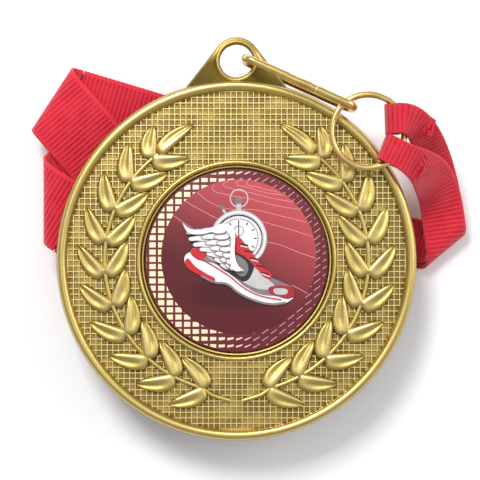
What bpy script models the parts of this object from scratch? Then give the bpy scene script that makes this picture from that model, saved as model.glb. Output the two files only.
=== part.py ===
"""A 50 mm wreath medal lying face up on its folded ribbon.

Metres, +Z up. +X points right across the medal's face and +Y towards its lug.
The origin is on the table under the medal's centre. The ribbon lies on the table,
a ring hangs in the ribbon's two sewn ends, a wire link joins the ring to the lug.
"""

import math

import bmesh
import bpy
from mathutils import Matrix, Vector

MM = 0.001

# medal, heights measured from its own back
MEDAL_RADIUS = 25.0 * MM
FIELD_TOP = 1.5 * MM
RIM_TOP = 2.4 * MM
RIM_WIDTH = 1.8 * MM
BACK_CHAMFER = 0.4 * MM
RECESS_RADIUS = 12.85 * MM
RECESS_FLOOR = 0.75 * MM
BEAD_RADIUS = 14.0 * MM
BEAD_TOP = 2.2 * MM
TURNED_STEPS = 72

# lug
LUG_CENTRE_Y = 27.7 * MM
LUG_RADIUS = 3.3 * MM
LUG_FOOT_X = 7.1 * MM
LUG_FOOT_Y = 23.6 * MM
LUG_HOLE_RADIUS = 2.35 * MM
LUG_THICKNESS = 1.5 * MM

# laurel wreath
WREATH_RADIUS = 18.3 * MM
WREATH_FIRST = 17.0
WREATH_STEP = 14.05
WREATH_PAIRS = 10
LEAF_SPLAY = 36.5
LEAF_LENGTH = 5.0 * MM
LEAF_WIDTH = 1.9 * MM
LEAF_HEIGHT = 0.6 * MM
LEAF_ROOT = 0.35 * MM
LEAF_OFFSET = 0.75 * MM
LEAF_SETBACK = 1.3 * MM
LEAF_SPREAD = 0.35 * MM
LEAF_BEND = 0.42 * MM
LEAF_TIP_HEIGHT = 0.25 * MM
LEAF_SHAPE = [(0.0, 0.3), (0.25, 0.85), (0.55, 1.0), (0.8, 0.6)]

# printed centre and the pad that holds it
PAD_RADIUS = 12.2 * MM
PAD_BOTTOM = 0.83 * MM
PAD_TOP = 1.03 * MM
DISC_RADIUS = 12.7 * MM
DISC_BOTTOM = 1.11 * MM
DISC_TOP = 1.7 * MM

# ribbon
RIBBON_WIDTH = 10.0 * MM
RIBBON_LENGTH = 800.0 * MM
RIBBON_THICKNESS = 0.3 * MM
PILE_PITCH = 0.46 * MM
PILE_LAYERS = 15
PILE_LEFT = -22.2 * MM
PILE_Y = 1.0 * MM
FIRST_LAYER = 0.15 * MM

MEDAL_BACK = 7.6 * MM

# ring and link
RING_CENTRE = Vector((18.1 * MM, 17.8 * MM, MEDAL_BACK + 3.55 * MM))
RING_RADIUS = 5.05 * MM
RING_WIRE = 0.45 * MM
RING_SPLIT = 4.0
FLIP_AXIS_START = Vector((21.0 * MM, 14.0 * MM, RING_CENTRE.z + 0.5 * MM))
FLIP_AXIS_END = Vector((22.0 * MM, 21.0 * MM, RING_CENTRE.z + 0.5 * MM))
LINK_LUG_END = Vector((1.23 * MM, 27.8 * MM, 0.0))
LINK_RING_END = Vector((16.15 * MM, 21.1 * MM, 0.0))
MEDAL_PIVOT = LINK_LUG_END + Vector((0.0, 0.0, MEDAL_BACK))
LINK_BOTTOM = MEDAL_BACK - 1.0 * MM
LINK_TOP = MEDAL_BACK + 4.9 * MM
LINK_WIRE = 0.55 * MM
LINK_CORNER = 1.3 * MM
LINK_SPLIT_FROM_LUG = 10.6 * MM
LINK_SPLIT_GAP = 0.12 * MM

# stitches that close the ribbon round the ring
EYE_TOP = RING_CENTRE.z + 2.05 * MM
EYE_FLAP = 5.0 * MM
FAN_SHARE = 0.6
FAN_CREASE = 39.7
STITCH_RADIUS = 0.12 * MM
STITCH_POINTS = 9
STITCH_GAP = 0.52 * MM
STITCH_SHARE = 0.67

GOLD = (0.62, 0.47, 0.14, 1.0)
WIRE_GOLD = (0.75, 0.52, 0.2, 1.0)
RED = (0.6, 0.02, 0.04, 1.0)
PRINT_RED = (0.35, 0.06, 0.07, 1.0)
PAD_WHITE = (0.8, 0.8, 0.76, 1.0)


# ---------------------------------------------------------------- small helpers

def unit(degrees):
    """Plan direction of a heading."""
    angle = math.radians(degrees)
    return Vector((math.cos(angle), math.sin(angle), 0.0))


def left_of(degrees):
    """Plan direction a quarter turn left of a heading."""
    return unit(degrees + 90.0)


def ease(share):
    """Smooth step from 0 to 1."""
    share = min(max(share, 0.0), 1.0)
    return share * share * (3.0 - 2.0 * share)


def material(name, colour, roughness, metallic):
    """A Principled BSDF material."""
    made = bpy.data.materials.new(name)
    made.use_nodes = True
    shader = made.node_tree.nodes["Principled BSDF"]
    shader.inputs["Base Color"].default_value = colour
    shader.inputs["Roughness"].default_value = roughness
    shader.inputs["Metallic"].default_value = metallic
    return made


def add_object(name, mesh_data, finish, smooth=True):
    """Turn a bmesh into a named object with its own material."""
    mesh = bpy.data.meshes.new(name)
    mesh_data.to_mesh(mesh)
    mesh_data.free()
    if smooth:
        mesh.shade_smooth()
        mesh.set_sharp_from_angle(angle=math.radians(40.0))
    made = bpy.data.objects.new(name, mesh)
    made.data.materials.append(finish)
    bpy.context.scene.collection.objects.link(made)
    return made


def turned(profile, steps=TURNED_STEPS):
    """A closed body turned about Z from (radius, height) points that start and end on it."""
    body = bmesh.new()
    ring = [body.verts.new((radius, 0.0, height)) for radius, height in profile]
    edges = [body.edges.new(pair) for pair in zip(ring, ring[1:])]
    bmesh.ops.spin(body, geom=ring + edges, cent=(0, 0, 0), axis=(0, 0, 1),
                   angle=math.tau, steps=steps, use_merge=True)
    bmesh.ops.remove_doubles(body, verts=body.verts, dist=1e-6)
    bmesh.ops.recalc_face_normals(body, faces=body.faces)
    return body


def prism(outline, bottom, top):
    """A closed body raised from a plan outline."""
    body = bmesh.new()
    face = body.faces.new([body.verts.new((x, y, bottom)) for x, y in outline])
    raised = bmesh.ops.extrude_face_region(body, geom=[face])
    moved = [item for item in raised["geom"] if isinstance(item, bmesh.types.BMVert)]
    bmesh.ops.translate(body, verts=moved, vec=(0, 0, top - bottom))
    bmesh.ops.recalc_face_normals(body, faces=body.faces)
    return body


def tube(points, radius, sides, up):
    """A closed round bar along open points, with flat ends."""
    body = bmesh.new()
    previous = None
    for index, point in enumerate(points):
        before = points[max(index - 1, 0)]
        after = points[min(index + 1, len(points) - 1)]
        along = (after - before).normalized()
        across = along.cross(up).normalized()
        turn = Matrix((across, along.cross(across), along)).transposed().to_4x4()
        made = bmesh.ops.create_circle(body, segments=sides, radius=radius,
                                       matrix=Matrix.Translation(point) @ turn)
        loop = sorted({edge for vert in made["verts"] for edge in vert.link_edges},
                      key=lambda edge: edge.index)
        if previous is None:
            body.faces.new(made["verts"])
        else:
            bmesh.ops.bridge_loops(body, edges=previous + loop)
        previous = loop
        last = made["verts"]
    body.faces.new(last)
    bmesh.ops.recalc_face_normals(body, faces=body.faces)
    return body


def boolean(target, tool, operation):
    """Apply an exact Boolean and drop the tool."""
    modifier = target.modifiers.new("shape", "BOOLEAN")
    modifier.operation = operation
    modifier.object = tool
    graph = bpy.context.evaluated_depsgraph_get()
    result = bpy.data.meshes.new_from_object(target.evaluated_get(graph))
    target.modifiers.clear()
    target.data = result
    bpy.data.objects.remove(tool)


def set_origin(made, pivot):
    """Put an object's origin on its joint axis and leave the object where it is."""
    made.data.transform(Matrix.Translation(-pivot))
    made.location = pivot


# ---------------------------------------------------------------- medal

def medal_profile():
    """Half section of the medal, from its back centre round to the recess floor."""
    outer = MEDAL_RADIUS
    inner = outer - RIM_WIDTH
    wall = BEAD_RADIUS - RECESS_RADIUS
    return [
        (0.0, 0.0),
        (outer - BACK_CHAMFER, 0.0),
        (outer, BACK_CHAMFER),
        (outer, RIM_TOP - 0.75 * MM),
        (outer - 0.25 * RIM_WIDTH, RIM_TOP - 0.15 * MM),
        (outer - 0.5 * RIM_WIDTH, RIM_TOP),
        (inner + 0.2 * RIM_WIDTH, RIM_TOP - 0.15 * MM),
        (inner, FIELD_TOP),
        (BEAD_RADIUS, FIELD_TOP),
        (BEAD_RADIUS - 0.2 * wall, BEAD_TOP - 0.15 * MM),
        (BEAD_RADIUS - 0.5 * wall, BEAD_TOP),
        (BEAD_RADIUS - 0.8 * wall, BEAD_TOP - 0.15 * MM),
        (RECESS_RADIUS, FIELD_TOP),
        (RECESS_RADIUS, RECESS_FLOOR),
        (0.0, RECESS_FLOOR),
    ]


def lug_outline():
    """Plan outline of the lug: straight flanks up to an arc round the hole."""
    foot = Vector((LUG_FOOT_X, LUG_FOOT_Y))
    centre = Vector((0.0, LUG_CENTRE_Y))
    reach = foot - centre
    spread = math.acos(LUG_RADIUS / reach.length)
    start = math.atan2(reach.y, reach.x) + spread
    steps = 20
    arc = [start + (math.pi - 2.0 * start) * step / steps for step in range(steps + 1)]
    points = [(LUG_FOOT_X, LUG_FOOT_Y)]
    points += [(LUG_RADIUS * math.cos(a), LUG_CENTRE_Y + LUG_RADIUS * math.sin(a)) for a in arc]
    return points + [(-LUG_FOOT_X, LUG_FOOT_Y)]


def leaf(body, root, heading, side):
    """Add one ridged laurel leaf, rooted in the field, to a bmesh."""
    along = unit(heading)
    across = left_of(heading) * side
    foot = Vector((0, 0, FIELD_TOP - LEAF_ROOT))

    def spot(share, sideways):
        """Plan place at a share of the leaf's length, sideways of its curved midrib."""
        curve = LEAF_BEND * math.sin(math.pi * share)
        return root + along * LEAF_LENGTH * share + across * (curve + sideways)

    near = [spot(share, LEAF_WIDTH / 2 * wide) + foot for share, wide in LEAF_SHAPE]
    far = [spot(share, -LEAF_WIDTH / 2 * wide) + foot for share, wide in LEAF_SHAPE]
    ridge = [spot(share, 0.0) + Vector((0, 0, FIELD_TOP + LEAF_HEIGHT * (1 + wide) / 2))
             for share, wide in LEAF_SHAPE]
    tip = root + along * LEAF_LENGTH
    outline = [body.verts.new(point) for point in near + [tip + foot] + far[::-1]]
    top = [body.verts.new(point) for point in ridge]
    peak = body.verts.new(tip + Vector((0, 0, FIELD_TOP + LEAF_TIP_HEIGHT)))
    low = body.verts.new(spot(0.45, 0.0) + foot)
    upper = top + [peak] + top[::-1]
    for index in range(len(outline) - 1):
        first, second = outline[index], outline[index + 1]
        body.faces.new((first, second, upper[index + 1], upper[index]))
        body.faces.new((second, first, low))
    body.faces.new((outline[-1], outline[0], top[0]))
    body.faces.new((outline[0], outline[-1], low))


def wreath():
    """Both laurel branches as one bmesh of leaves that don't touch."""
    body = bmesh.new()
    for side in (1, -1):
        for pair in range(WREATH_PAIRS):
            turn = WREATH_FIRST + WREATH_STEP * pair
            heading = -90.0 - side * turn - side * 90.0
            place = unit(-90.0 - side * turn) * WREATH_RADIUS - unit(heading) * LEAF_SETBACK
            for splay in (1, -1):
                bearing = heading + splay * LEAF_SPLAY
                root = place + unit(bearing) * LEAF_OFFSET + left_of(heading) * splay * LEAF_SPREAD
                leaf(body, root, bearing, splay)
    bmesh.ops.recalc_face_normals(body, faces=body.faces)
    return body


def build_medal(finish):
    """Stamped disc with rim, lug, wreath and the recess for its centre."""
    medal = add_object("medal_body", turned(medal_profile()), finish)
    lug = add_object("lug_block", prism(lug_outline(), 0.0, LUG_THICKNESS), finish)
    hole = add_object("lug_hole", turned([
        (0.0, -1.0 * MM), (LUG_HOLE_RADIUS, -1.0 * MM),
        (LUG_HOLE_RADIUS, LUG_THICKNESS + 1.0 * MM), (0.0, LUG_THICKNESS + 1.0 * MM)], 32), finish)
    hole.data.transform(Matrix.Translation((0, LUG_CENTRE_Y, 0)))
    boolean(lug, hole, "DIFFERENCE")
    boolean(medal, lug, "UNION")
    boolean(medal, add_object("leaves", wreath(), finish), "UNION")
    medal.data.transform(Matrix.Translation((0, 0, MEDAL_BACK)))
    set_origin(medal, MEDAL_PIVOT)


def build_centre(print_finish, pad_finish):
    """Printed disc and its adhesive pad, in the recess."""
    edge = 0.12 * MM
    disc = turned([(0.0, DISC_BOTTOM), (DISC_RADIUS, DISC_BOTTOM), (DISC_RADIUS, DISC_TOP - edge),
                   (DISC_RADIUS - edge, DISC_TOP), (0.0, DISC_TOP)], 64)
    pad = turned([(0.0, PAD_BOTTOM), (PAD_RADIUS, PAD_BOTTOM), (PAD_RADIUS, PAD_TOP), (0.0, PAD_TOP)], 48)
    for name, body, finish in (("printed_centre", disc, print_finish), ("adhesive_pad", pad, pad_finish)):
        bmesh.ops.translate(body, verts=body.verts, vec=(0, 0, MEDAL_BACK))
        set_origin(add_object(name, body, finish), MEDAL_PIVOT)


# ---------------------------------------------------------------- ring and link

def build_ring(finish):
    """Split ring, lying flat over the medal's edge, its split inside the ribbon."""
    steps = 40
    start = RING_SPLIT / 2
    sweep = 360.0 - RING_SPLIT
    points = [RING_CENTRE + unit(start + sweep * step / steps) * RING_RADIUS for step in range(steps + 1)]
    ring = add_object("ribbon_ring", tube(points, RING_WIRE, 10, Vector((0, 0, 1))), finish)
    set_origin(ring, (FLIP_AXIS_START + FLIP_AXIS_END) / 2)


def link_route():
    """Rounded rectangle of the link's wire in its own upright plane, from split to split."""
    run = (LINK_RING_END - LINK_LUG_END).length
    half = (LINK_TOP - LINK_BOTTOM) / 2
    corners = [(run, half, 0.0), (run, -half, -90.0), (0.0, -half, -180.0), (0.0, half, -270.0)]
    split = LINK_SPLIT_FROM_LUG
    route = [(split + LINK_SPLIT_GAP / 2, half)]
    for along, height, turn in corners:
        inset_x = along - math.copysign(LINK_CORNER, along - run / 2)
        inset_z = height - math.copysign(LINK_CORNER, height)
        for step in range(7):
            angle = math.radians(turn + 90.0 - 15.0 * step)
            route.append((inset_x + LINK_CORNER * math.cos(angle), inset_z + LINK_CORNER * math.sin(angle)))
    route.append((split - LINK_SPLIT_GAP / 2, half))
    return route


def build_link(finish):
    """Wire link standing on edge through the lug's hole and round the ring."""
    along = (LINK_RING_END - LINK_LUG_END).normalized()
    middle = (LINK_TOP + LINK_BOTTOM) / 2
    across = Vector((0, 0, 1)).cross(along)
    points = [LINK_LUG_END + along * x + Vector((0, 0, middle + z)) for x, z in link_route()]
    link = add_object("lug_link", tube(points, LINK_WIRE, 10, across), finish)
    set_origin(link, LINK_RING_END + Vector((0, 0, middle)))


# ---------------------------------------------------------------- ribbon route

class Glide:
    """A run whose plan is a cubic curve between two stations (place, heading, height)."""

    def __init__(self, start, end, pull=None, narrow=(1.0, 1.0), widen=1.0):
        self.start, self.end, self.narrow, self.widen = start, end, narrow, widen
        first, last = Vector(start[0]), Vector(end[0])
        reach = (last - first).to_2d().length / 3
        pulls = pull or (reach, reach)
        second = first + unit(start[1]) * pulls[0]
        third = last - unit(end[1]) * pulls[1]
        self.spots = []
        self.ways = []
        self.marks = [0.0]
        steps = 120
        for step in range(steps + 1):
            f = step / steps
            g = 1.0 - f
            spot = first * g ** 3 + second * 3 * g * g * f + third * 3 * g * f * f + last * f ** 3
            way = (second - first) * g * g + (third - second) * 2 * g * f + (last - third) * f * f
            way.z = 0.0
            spot.z = first.z + (last.z - first.z) * ease(f)
            if self.spots:
                self.marks.append(self.marks[-1] + (spot - self.spots[-1]).length)
            self.spots.append(spot)
            self.ways.append(way.normalized())
        self.length = self.marks[-1]
        self.straight = abs(start[1] - end[1]) < 0.01 and abs(first.z - last.z) < 1e-6

    def at(self, distance, side):
        """Point at a distance along the run, side metres left of its middle."""
        index = 0
        while index < len(self.marks) - 2 and self.marks[index + 1] < distance:
            index += 1
        share = (distance - self.marks[index]) / (self.marks[index + 1] - self.marks[index])
        spot = self.spots[index].lerp(self.spots[index + 1], share)
        way = self.ways[index].lerp(self.ways[index + 1], share).normalized()
        width = self.narrow[0] + (self.narrow[1] - self.narrow[0]) * ease(distance / self.length / self.widen)
        return spot + Vector((-way.y, way.x, 0.0)) * side * width

    def out(self):
        """Station at the end of the run."""
        return self.end


class Fold:
    """A turn over a straight crease, wound round a cylinder, up or down."""

    def __init__(self, start, crease, radius, up, width=1.0):
        self.start, self.radius, self.up, self.width = start, radius, up, width
        self.way, self.side = unit(start[1]), left_of(start[1])
        self.along, self.across = unit(crease), left_of(crease)
        if self.across.dot(self.way) < 0:
            self.across = -self.across
        square = self.across.dot(self.way)
        slant = abs(self.across.dot(self.side))
        self.lead = slant * width * RIBBON_WIDTH / 2 / square
        self.band = math.pi * radius
        self.length = 2 * self.lead + self.band / square
        self.axis = Vector(start[0]) + self.way * self.lead
        self.square = slant < 1e-6

    def at(self, distance, side):
        """Point at a distance along the fold, side metres left of the way in."""
        flat = Vector(self.start[0]) + self.way * distance + self.side * side * self.width
        past = (flat - self.axis).dot(self.across)
        along = (flat - self.axis).dot(self.along)
        rise = 0.0
        if past > self.band:
            past, rise = self.band - past, 2 * self.radius
        elif past > 0:
            turn = past / self.radius
            past, rise = self.radius * math.sin(turn), self.radius * (1 - math.cos(turn))
        return self.axis + self.across * past + self.along * along + Vector((0, 0, self.up * rise))

    def out(self):
        """Station at the end of the fold."""
        end, before = self.at(self.length, 0.0), self.at(self.length - 1e-5, 0.0)
        heading = math.degrees(math.atan2(end.y - before.y, end.x - before.x))
        return (end, heading, None)


class Eye:
    """The sewn end: a short flap below, round the ring, out on top at a station."""

    def __init__(self, end, width, lows, close):
        self.end, self.width, self.lows, self.close = end, width, lows, close
        self.radius = (2 * end[0].z - sum(lows)) / 4
        self.length = EYE_FLAP + math.pi * self.radius

    def at(self, distance, side):
        """Point at a distance from the flap's cut end, side metres left of the way out."""
        low = self.lows[0] + (self.lows[1] - self.lows[0]) * (side / RIBBON_WIDTH + 0.5)
        radius = (self.end[0].z - low) / 2
        spot = Vector(self.end[0]) + left_of(self.end[1]) * side * self.width
        if distance < EYE_FLAP:
            back = EYE_FLAP - distance
            spot += unit(self.end[1]) * back
            spot.z = low + (self.close - low) * ease(back / EYE_FLAP)
            return spot
        turn = (distance - EYE_FLAP) / self.radius
        spot -= unit(self.end[1]) * radius * math.sin(turn)
        spot.z = low + radius - radius * math.cos(turn)
        return spot

    def out(self):
        """Station where the top layer leaves the ring."""
        return self.end


class Back:
    """Another stretch, run from its end to its start."""

    def __init__(self, other):
        self.other, self.length = other, other.length

    def at(self, distance, side):
        """Point of the other stretch, counted from its end."""
        return self.other.at(self.length - distance, -side)


def station(x, y, heading, height):
    """A place on the ribbon's middle line, in millimetres and degrees."""
    return (Vector((x * MM, y * MM, height)), heading, None)


def lower_end_stretches():
    """Ribbon from its lower sewn end down to the table."""
    eye = station(21.5, 14.95, -28.0, EYE_TOP)
    ring = RING_CENTRE.z
    fan = Glide(eye, station(29.5, 5.3, -82.0, 3.5 * MM), (5.5 * MM, 7.0 * MM), (0.37, FAN_SHARE), 0.55)
    fold = Fold(fan.out(), FAN_CREASE, 1.65 * MM, -1, FAN_SHARE)
    return [Eye(eye, 0.37, (ring - 0.78 * MM, ring - 1.65 * MM), EYE_TOP - 1.7 * MM), fan, fold]


def upper_end_stretches():
    """Ribbon from its upper sewn end down to the table, under the lower end's run."""
    eye = station(22.3, 19.45, 2.0, EYE_TOP)
    ring = RING_CENTRE.z
    fan = Glide(eye, station(29.5, 5.3, -82.0, 2.85 * MM), (4.0 * MM, 8.0 * MM), (0.41, FAN_SHARE), 0.95)
    fold = Fold(fan.out(), FAN_CREASE, 1.1 * MM, -1, FAN_SHARE)
    return [Eye(eye, 0.41, (ring - 1.55 * MM, ring - 1.55 * MM), EYE_TOP - 2.0 * MM), fan, fold]


def loop_stretches(start):
    """Both loops at the medal's left, from the pile's lowest layer to its top one."""
    top = FIRST_LAYER + PILE_PITCH * PILE_LAYERS
    made = [Glide(start, station(-19.6, 14.9, 130.5, 4.6 * MM), (7 * MM, 7 * MM))]
    made.append(Glide(made[-1].out(), station(-24.3, 20.4, 130.5, 5.2 * MM)))
    made.append(Fold(made[-1].out(), 237.0, 1.4 * MM, -1))
    out = made[-1].out()
    made.append(Glide(out, (out[0] + unit(out[1]) * 16 * MM - Vector((0, 0, 0.8 * MM)), out[1], None)))
    made.append(Fold(made[-1].out(), made[-1].out()[1] + 90.0, 0.3 * MM, -1))
    made.append(Glide(made[-1].out(), station(-18.4, 14.9, 212.0, 1.6 * MM), (5 * MM, 3 * MM)))
    made.append(Glide(made[-1].out(), station(-22.9, 11.7, 212.0, top - 3.0 * MM)))
    made.append(Fold(made[-1].out(), 90.0, 1.5 * MM, 1))
    made.append(Glide(made[-1].out(), (Vector((-9 * MM, PILE_Y, top)), 0.0, None), (5 * MM, 5 * MM)))
    return made


def pile_stretches(start, right):
    """The zigzag pile under the medal, from its top layer down to its lowest but one."""
    made = []
    here = start
    for layer in range(PILE_LAYERS, 0, -1):
        rightward = layer % 2 == 1
        end = Vector((right if rightward else PILE_LEFT, PILE_Y, here[0].z))
        made.append(Glide(here, (end, 0.0 if rightward else 180.0, None)))
        here = made[-1].out()
        if layer > 1:
            made.append(Fold(here, 90.0, PILE_PITCH / 2, -1))
            here = made[-1].out()
            here = (here[0], 180.0 if rightward else 0.0, None)
    return made


def ribbon_stretches(right):
    """Every stretch of the ribbon, lower end first, for a pile that reaches right."""
    lower = lower_end_stretches()
    upper = upper_end_stretches()
    made = list(lower)
    entry = (Vector((right, PILE_Y, FIRST_LAYER)), 180.0, None)
    made.append(Glide(lower[-1].out(), entry, None, (FAN_SHARE, 1.0)))
    made.append(Glide(entry, (Vector((-5 * MM, PILE_Y, FIRST_LAYER)), 180.0, None)))
    made += loop_stretches(made[-1].out())
    made += pile_stretches(made[-1].out(), right)
    meet = upper[-1].out()
    arrive = (meet[0], meet[1] - 180.0, None)
    made.append(Glide(made[-1].out(), arrive, None, (1.0, FAN_SHARE)))
    return made + [Back(stretch) for stretch in reversed(upper)]


def fitted_stretches():
    """The stretches whose lengths add up to the ribbon's length."""
    low, high = 8.0 * MM, 24.0 * MM
    for _ in range(30):
        right = (low + high) / 2
        made = ribbon_stretches(right)
        if sum(stretch.length for stretch in made) < RIBBON_LENGTH:
            low = right
        else:
            high = right
    return made


def stations_of(stretch):
    """Distances along a stretch at which the ribbon's mesh has a row."""
    if isinstance(stretch, Glide) and stretch.straight:
        count = 1
    elif isinstance(stretch, Fold) and stretch.square:
        count = 6
    elif isinstance(stretch, Glide):
        count = max(2, round(stretch.length / (2.2 * MM)))
    else:
        count = max(6, round(stretch.length / (0.8 * MM)))
    return [stretch.length * step / count for step in range(count)]


def build_ribbon(finish):
    """The whole ribbon as one closed strip, folded as it lies."""
    stretches = fitted_stretches()
    rows = [(stretch, d) for stretch in stretches for d in stations_of(stretch)]
    rows.append((stretches[-1], stretches[-1].length))
    sides = 4
    body = bmesh.new()
    bmesh.ops.create_grid(body, x_segments=len(rows) - 1, y_segments=sides, size=1.0)
    body.verts.ensure_lookup_table()
    for vert in body.verts:
        row = round((vert.co.x + 1.0) / 2.0 * (len(rows) - 1))
        side = vert.co.y * RIBBON_WIDTH / 2
        stretch, distance = rows[row]
        vert.co = stretch.at(distance, side)
    made = add_object("neck_ribbon", body, finish)
    shell = made.modifiers.new("thickness", "SOLIDIFY")
    shell.thickness = RIBBON_THICKNESS
    shell.offset = 0.0
    return stretches


def build_stitch(name, finish, fan):
    """One zigzag thread across a sewn end, laid just clear of the ribbon."""
    gap = RIBBON_THICKNESS / 2 + STITCH_RADIUS + STITCH_GAP
    points = []
    for index in range(STITCH_POINTS):
        side = RIBBON_WIDTH * (index / (STITCH_POINTS - 1) - 0.5) * STITCH_SHARE
        distance = EYE_FLAP - (0.4 if index % 2 else 1.3) * MM
        spot = fan.at(distance, side)
        along = fan.at(distance + 0.1 * MM, side) - spot
        lift = along.cross(fan.at(distance, side + 0.1 * MM) - spot).normalized()
        points.append(spot + (lift if lift.z > 0 else -lift) * gap)
    add_object(name, tube(points, STITCH_RADIUS, 6, Vector((0, 0, 1))), finish)


def main():
    """Build the medal, its centre, ring, link and ribbon."""
    for old in list(bpy.data.objects):
        bpy.data.objects.remove(old)
    build_medal(material("gold_plate", GOLD, 0.35, 1.0))
    build_centre(material("print", PRINT_RED, 0.35, 0.0), material("adhesive", PAD_WHITE, 0.8, 0.0))
    build_ring(material("ring_wire", WIRE_GOLD, 0.25, 1.0))
    build_link(material("link_wire", WIRE_GOLD, 0.25, 1.0))
    stretches = build_ribbon(material("red_ribbon", RED, 0.85, 0.0))
    thread = material("red_thread", RED, 0.7, 0.0)
    build_stitch("lower_end_stitch", thread, stretches[1])
    build_stitch("upper_end_stitch", thread, stretches[-2].other)


main()
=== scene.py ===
"""Looks of a wreath medal that lies face up on its folded neck ribbon.

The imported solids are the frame. Every place comes from their boxes, in metres, with +Z up,
+X to the right across the medal's face and +Y from the medal's centre to its lug. Each class
holds one sub-assembly: it builds the meshes, gives them their finishes and says which body
they ride on. The studio class adds the floor, lights and camera.
"""

import logging
import math
from dataclasses import dataclass, field
from enum import Enum
from typing import Protocol, Sequence

import bmesh
import bpy
from bpy.types import Material, Mesh, Node, NodeSocket, NodeTree, Object
from mathutils import Matrix, Vector


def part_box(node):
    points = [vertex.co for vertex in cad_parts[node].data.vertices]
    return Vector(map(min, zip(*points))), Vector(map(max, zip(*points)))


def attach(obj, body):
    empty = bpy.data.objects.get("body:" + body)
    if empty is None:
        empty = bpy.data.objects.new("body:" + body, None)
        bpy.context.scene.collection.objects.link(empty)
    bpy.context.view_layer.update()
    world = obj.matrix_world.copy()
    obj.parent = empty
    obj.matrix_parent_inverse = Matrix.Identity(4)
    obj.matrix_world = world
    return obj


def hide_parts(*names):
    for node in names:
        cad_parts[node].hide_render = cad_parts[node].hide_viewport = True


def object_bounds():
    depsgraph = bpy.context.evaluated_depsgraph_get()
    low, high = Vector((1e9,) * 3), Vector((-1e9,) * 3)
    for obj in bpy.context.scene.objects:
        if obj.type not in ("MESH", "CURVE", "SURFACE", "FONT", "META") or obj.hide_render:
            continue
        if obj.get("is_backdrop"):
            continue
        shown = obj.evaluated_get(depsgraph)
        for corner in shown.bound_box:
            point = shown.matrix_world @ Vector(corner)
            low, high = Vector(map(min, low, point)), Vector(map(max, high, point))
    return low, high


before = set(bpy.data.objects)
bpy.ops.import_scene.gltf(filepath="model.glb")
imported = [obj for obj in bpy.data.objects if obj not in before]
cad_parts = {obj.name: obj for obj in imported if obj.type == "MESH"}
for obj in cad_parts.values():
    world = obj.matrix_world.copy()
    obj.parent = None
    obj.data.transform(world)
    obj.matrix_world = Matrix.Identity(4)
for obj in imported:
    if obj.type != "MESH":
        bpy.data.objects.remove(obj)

MM = 0.001
LOG = logging.getLogger("medal")

Colour = tuple[float, float, float, float]
Point = tuple[float, float]


class Body(Enum):
    """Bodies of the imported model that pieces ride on."""

    MEDAL = "medal"
    RING = "ring"
    LINK = "link"
    RIBBON = "ribbon"


class Ink(Enum):
    """Inks of the printed centre's emblem."""

    WHITE = "white"
    SILVER = "silver"
    GREY = "grey"
    BLACK = "black"
    RED = "red"
    DEEP_RED = "deep_red"
    LANE = "lane"


# ---------------------------------------------------------------- shapes

def heading_vector(degrees: float) -> Vector:
    """Unit vector in plan at a heading from +X."""
    angle = math.radians(degrees)
    return Vector((math.cos(angle), math.sin(angle), 0.0))


def ease(share: float) -> float:
    """Smooth step of a share, held between 0 and 1."""
    share = min(max(share, 0.0), 1.0)
    return share * share * (3.0 - 2.0 * share)


def new_object(name: str, mesh: Mesh, sharp_angle: float = 35.0) -> Object:
    """Link a mesh to the scene as a smooth-shaded object with sharp creases.

    Args:
        name: Name of the object and its mesh.
        mesh: The finished mesh, in place.
        sharp_angle: Angle in degrees past which an edge stays sharp.

    Returns:
        The new object, at the origin.
    """
    mesh.name = name
    mesh.shade_smooth()
    mesh.set_sharp_from_angle(angle=math.radians(sharp_angle))
    made = bpy.data.objects.new(name, mesh)
    bpy.context.scene.collection.objects.link(made)
    return made


def from_bmesh(name: str, body: bmesh.types.BMesh, sharp_angle: float = 35.0) -> Object:
    """Turn a bmesh into an object and free it."""
    bmesh.ops.recalc_face_normals(body, faces=body.faces)
    mesh = bpy.data.meshes.new(name)
    body.to_mesh(mesh)
    body.free()
    return new_object(name, mesh, sharp_angle)


def turned(profile: Sequence[Point], centre: Vector, steps: int) -> bmesh.types.BMesh:
    """Turn a half section about a vertical axis.

    Args:
        profile: Radius and height of each point, in metres.
        centre: Foot of the axis.
        steps: Number of steps in the full turn.

    Returns:
        A bmesh of the turned shape, with its seam and poles merged.
    """
    body = bmesh.new()
    verts = [body.verts.new((radius, 0.0, height)) for radius, height in profile]
    edges = [body.edges.new(pair) for pair in zip(verts, verts[1:])]
    bmesh.ops.spin(body, geom=verts + edges, cent=(0, 0, 0), axis=(0, 0, 1),
                   angle=math.tau, steps=steps, use_merge=True)
    bmesh.ops.remove_doubles(body, verts=body.verts, dist=1e-6)
    bmesh.ops.translate(body, verts=body.verts, vec=centre)
    return body


def arch(inner: float, outer: float, foot: float, top: float, steps: int) -> list[Point]:
    """Points of a half-round bead's section, from its outer foot over to its inner foot."""
    middle, half = (inner + outer) / 2, (outer - inner) / 2
    angles = [math.pi * step / steps for step in range(steps + 1)]
    return [(middle + half * math.cos(a), foot + (top - foot) * math.sin(a) ** 0.8) for a in angles]


def wire(name: str, points: Sequence[Vector], radius: float, sides: int = 4) -> Object:
    """A round wire along points, with closed ends.

    Args:
        name: Name of the piece.
        points: Points of its middle line.
        radius: Radius of the wire.
        sides: Blender's bevel resolution.

    Returns:
        The wire as a mesh object.
    """
    curve = bpy.data.curves.new(name, "CURVE")
    curve.dimensions = "3D"
    curve.bevel_depth = radius
    curve.bevel_resolution = sides
    curve.use_fill_caps = True
    spline = curve.splines.new("POLY")
    spline.points.add(len(points) - 1)
    for place, point in zip(spline.points, points):
        place.co = (*point, 1.0)
    return from_curve(name, curve)


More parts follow.
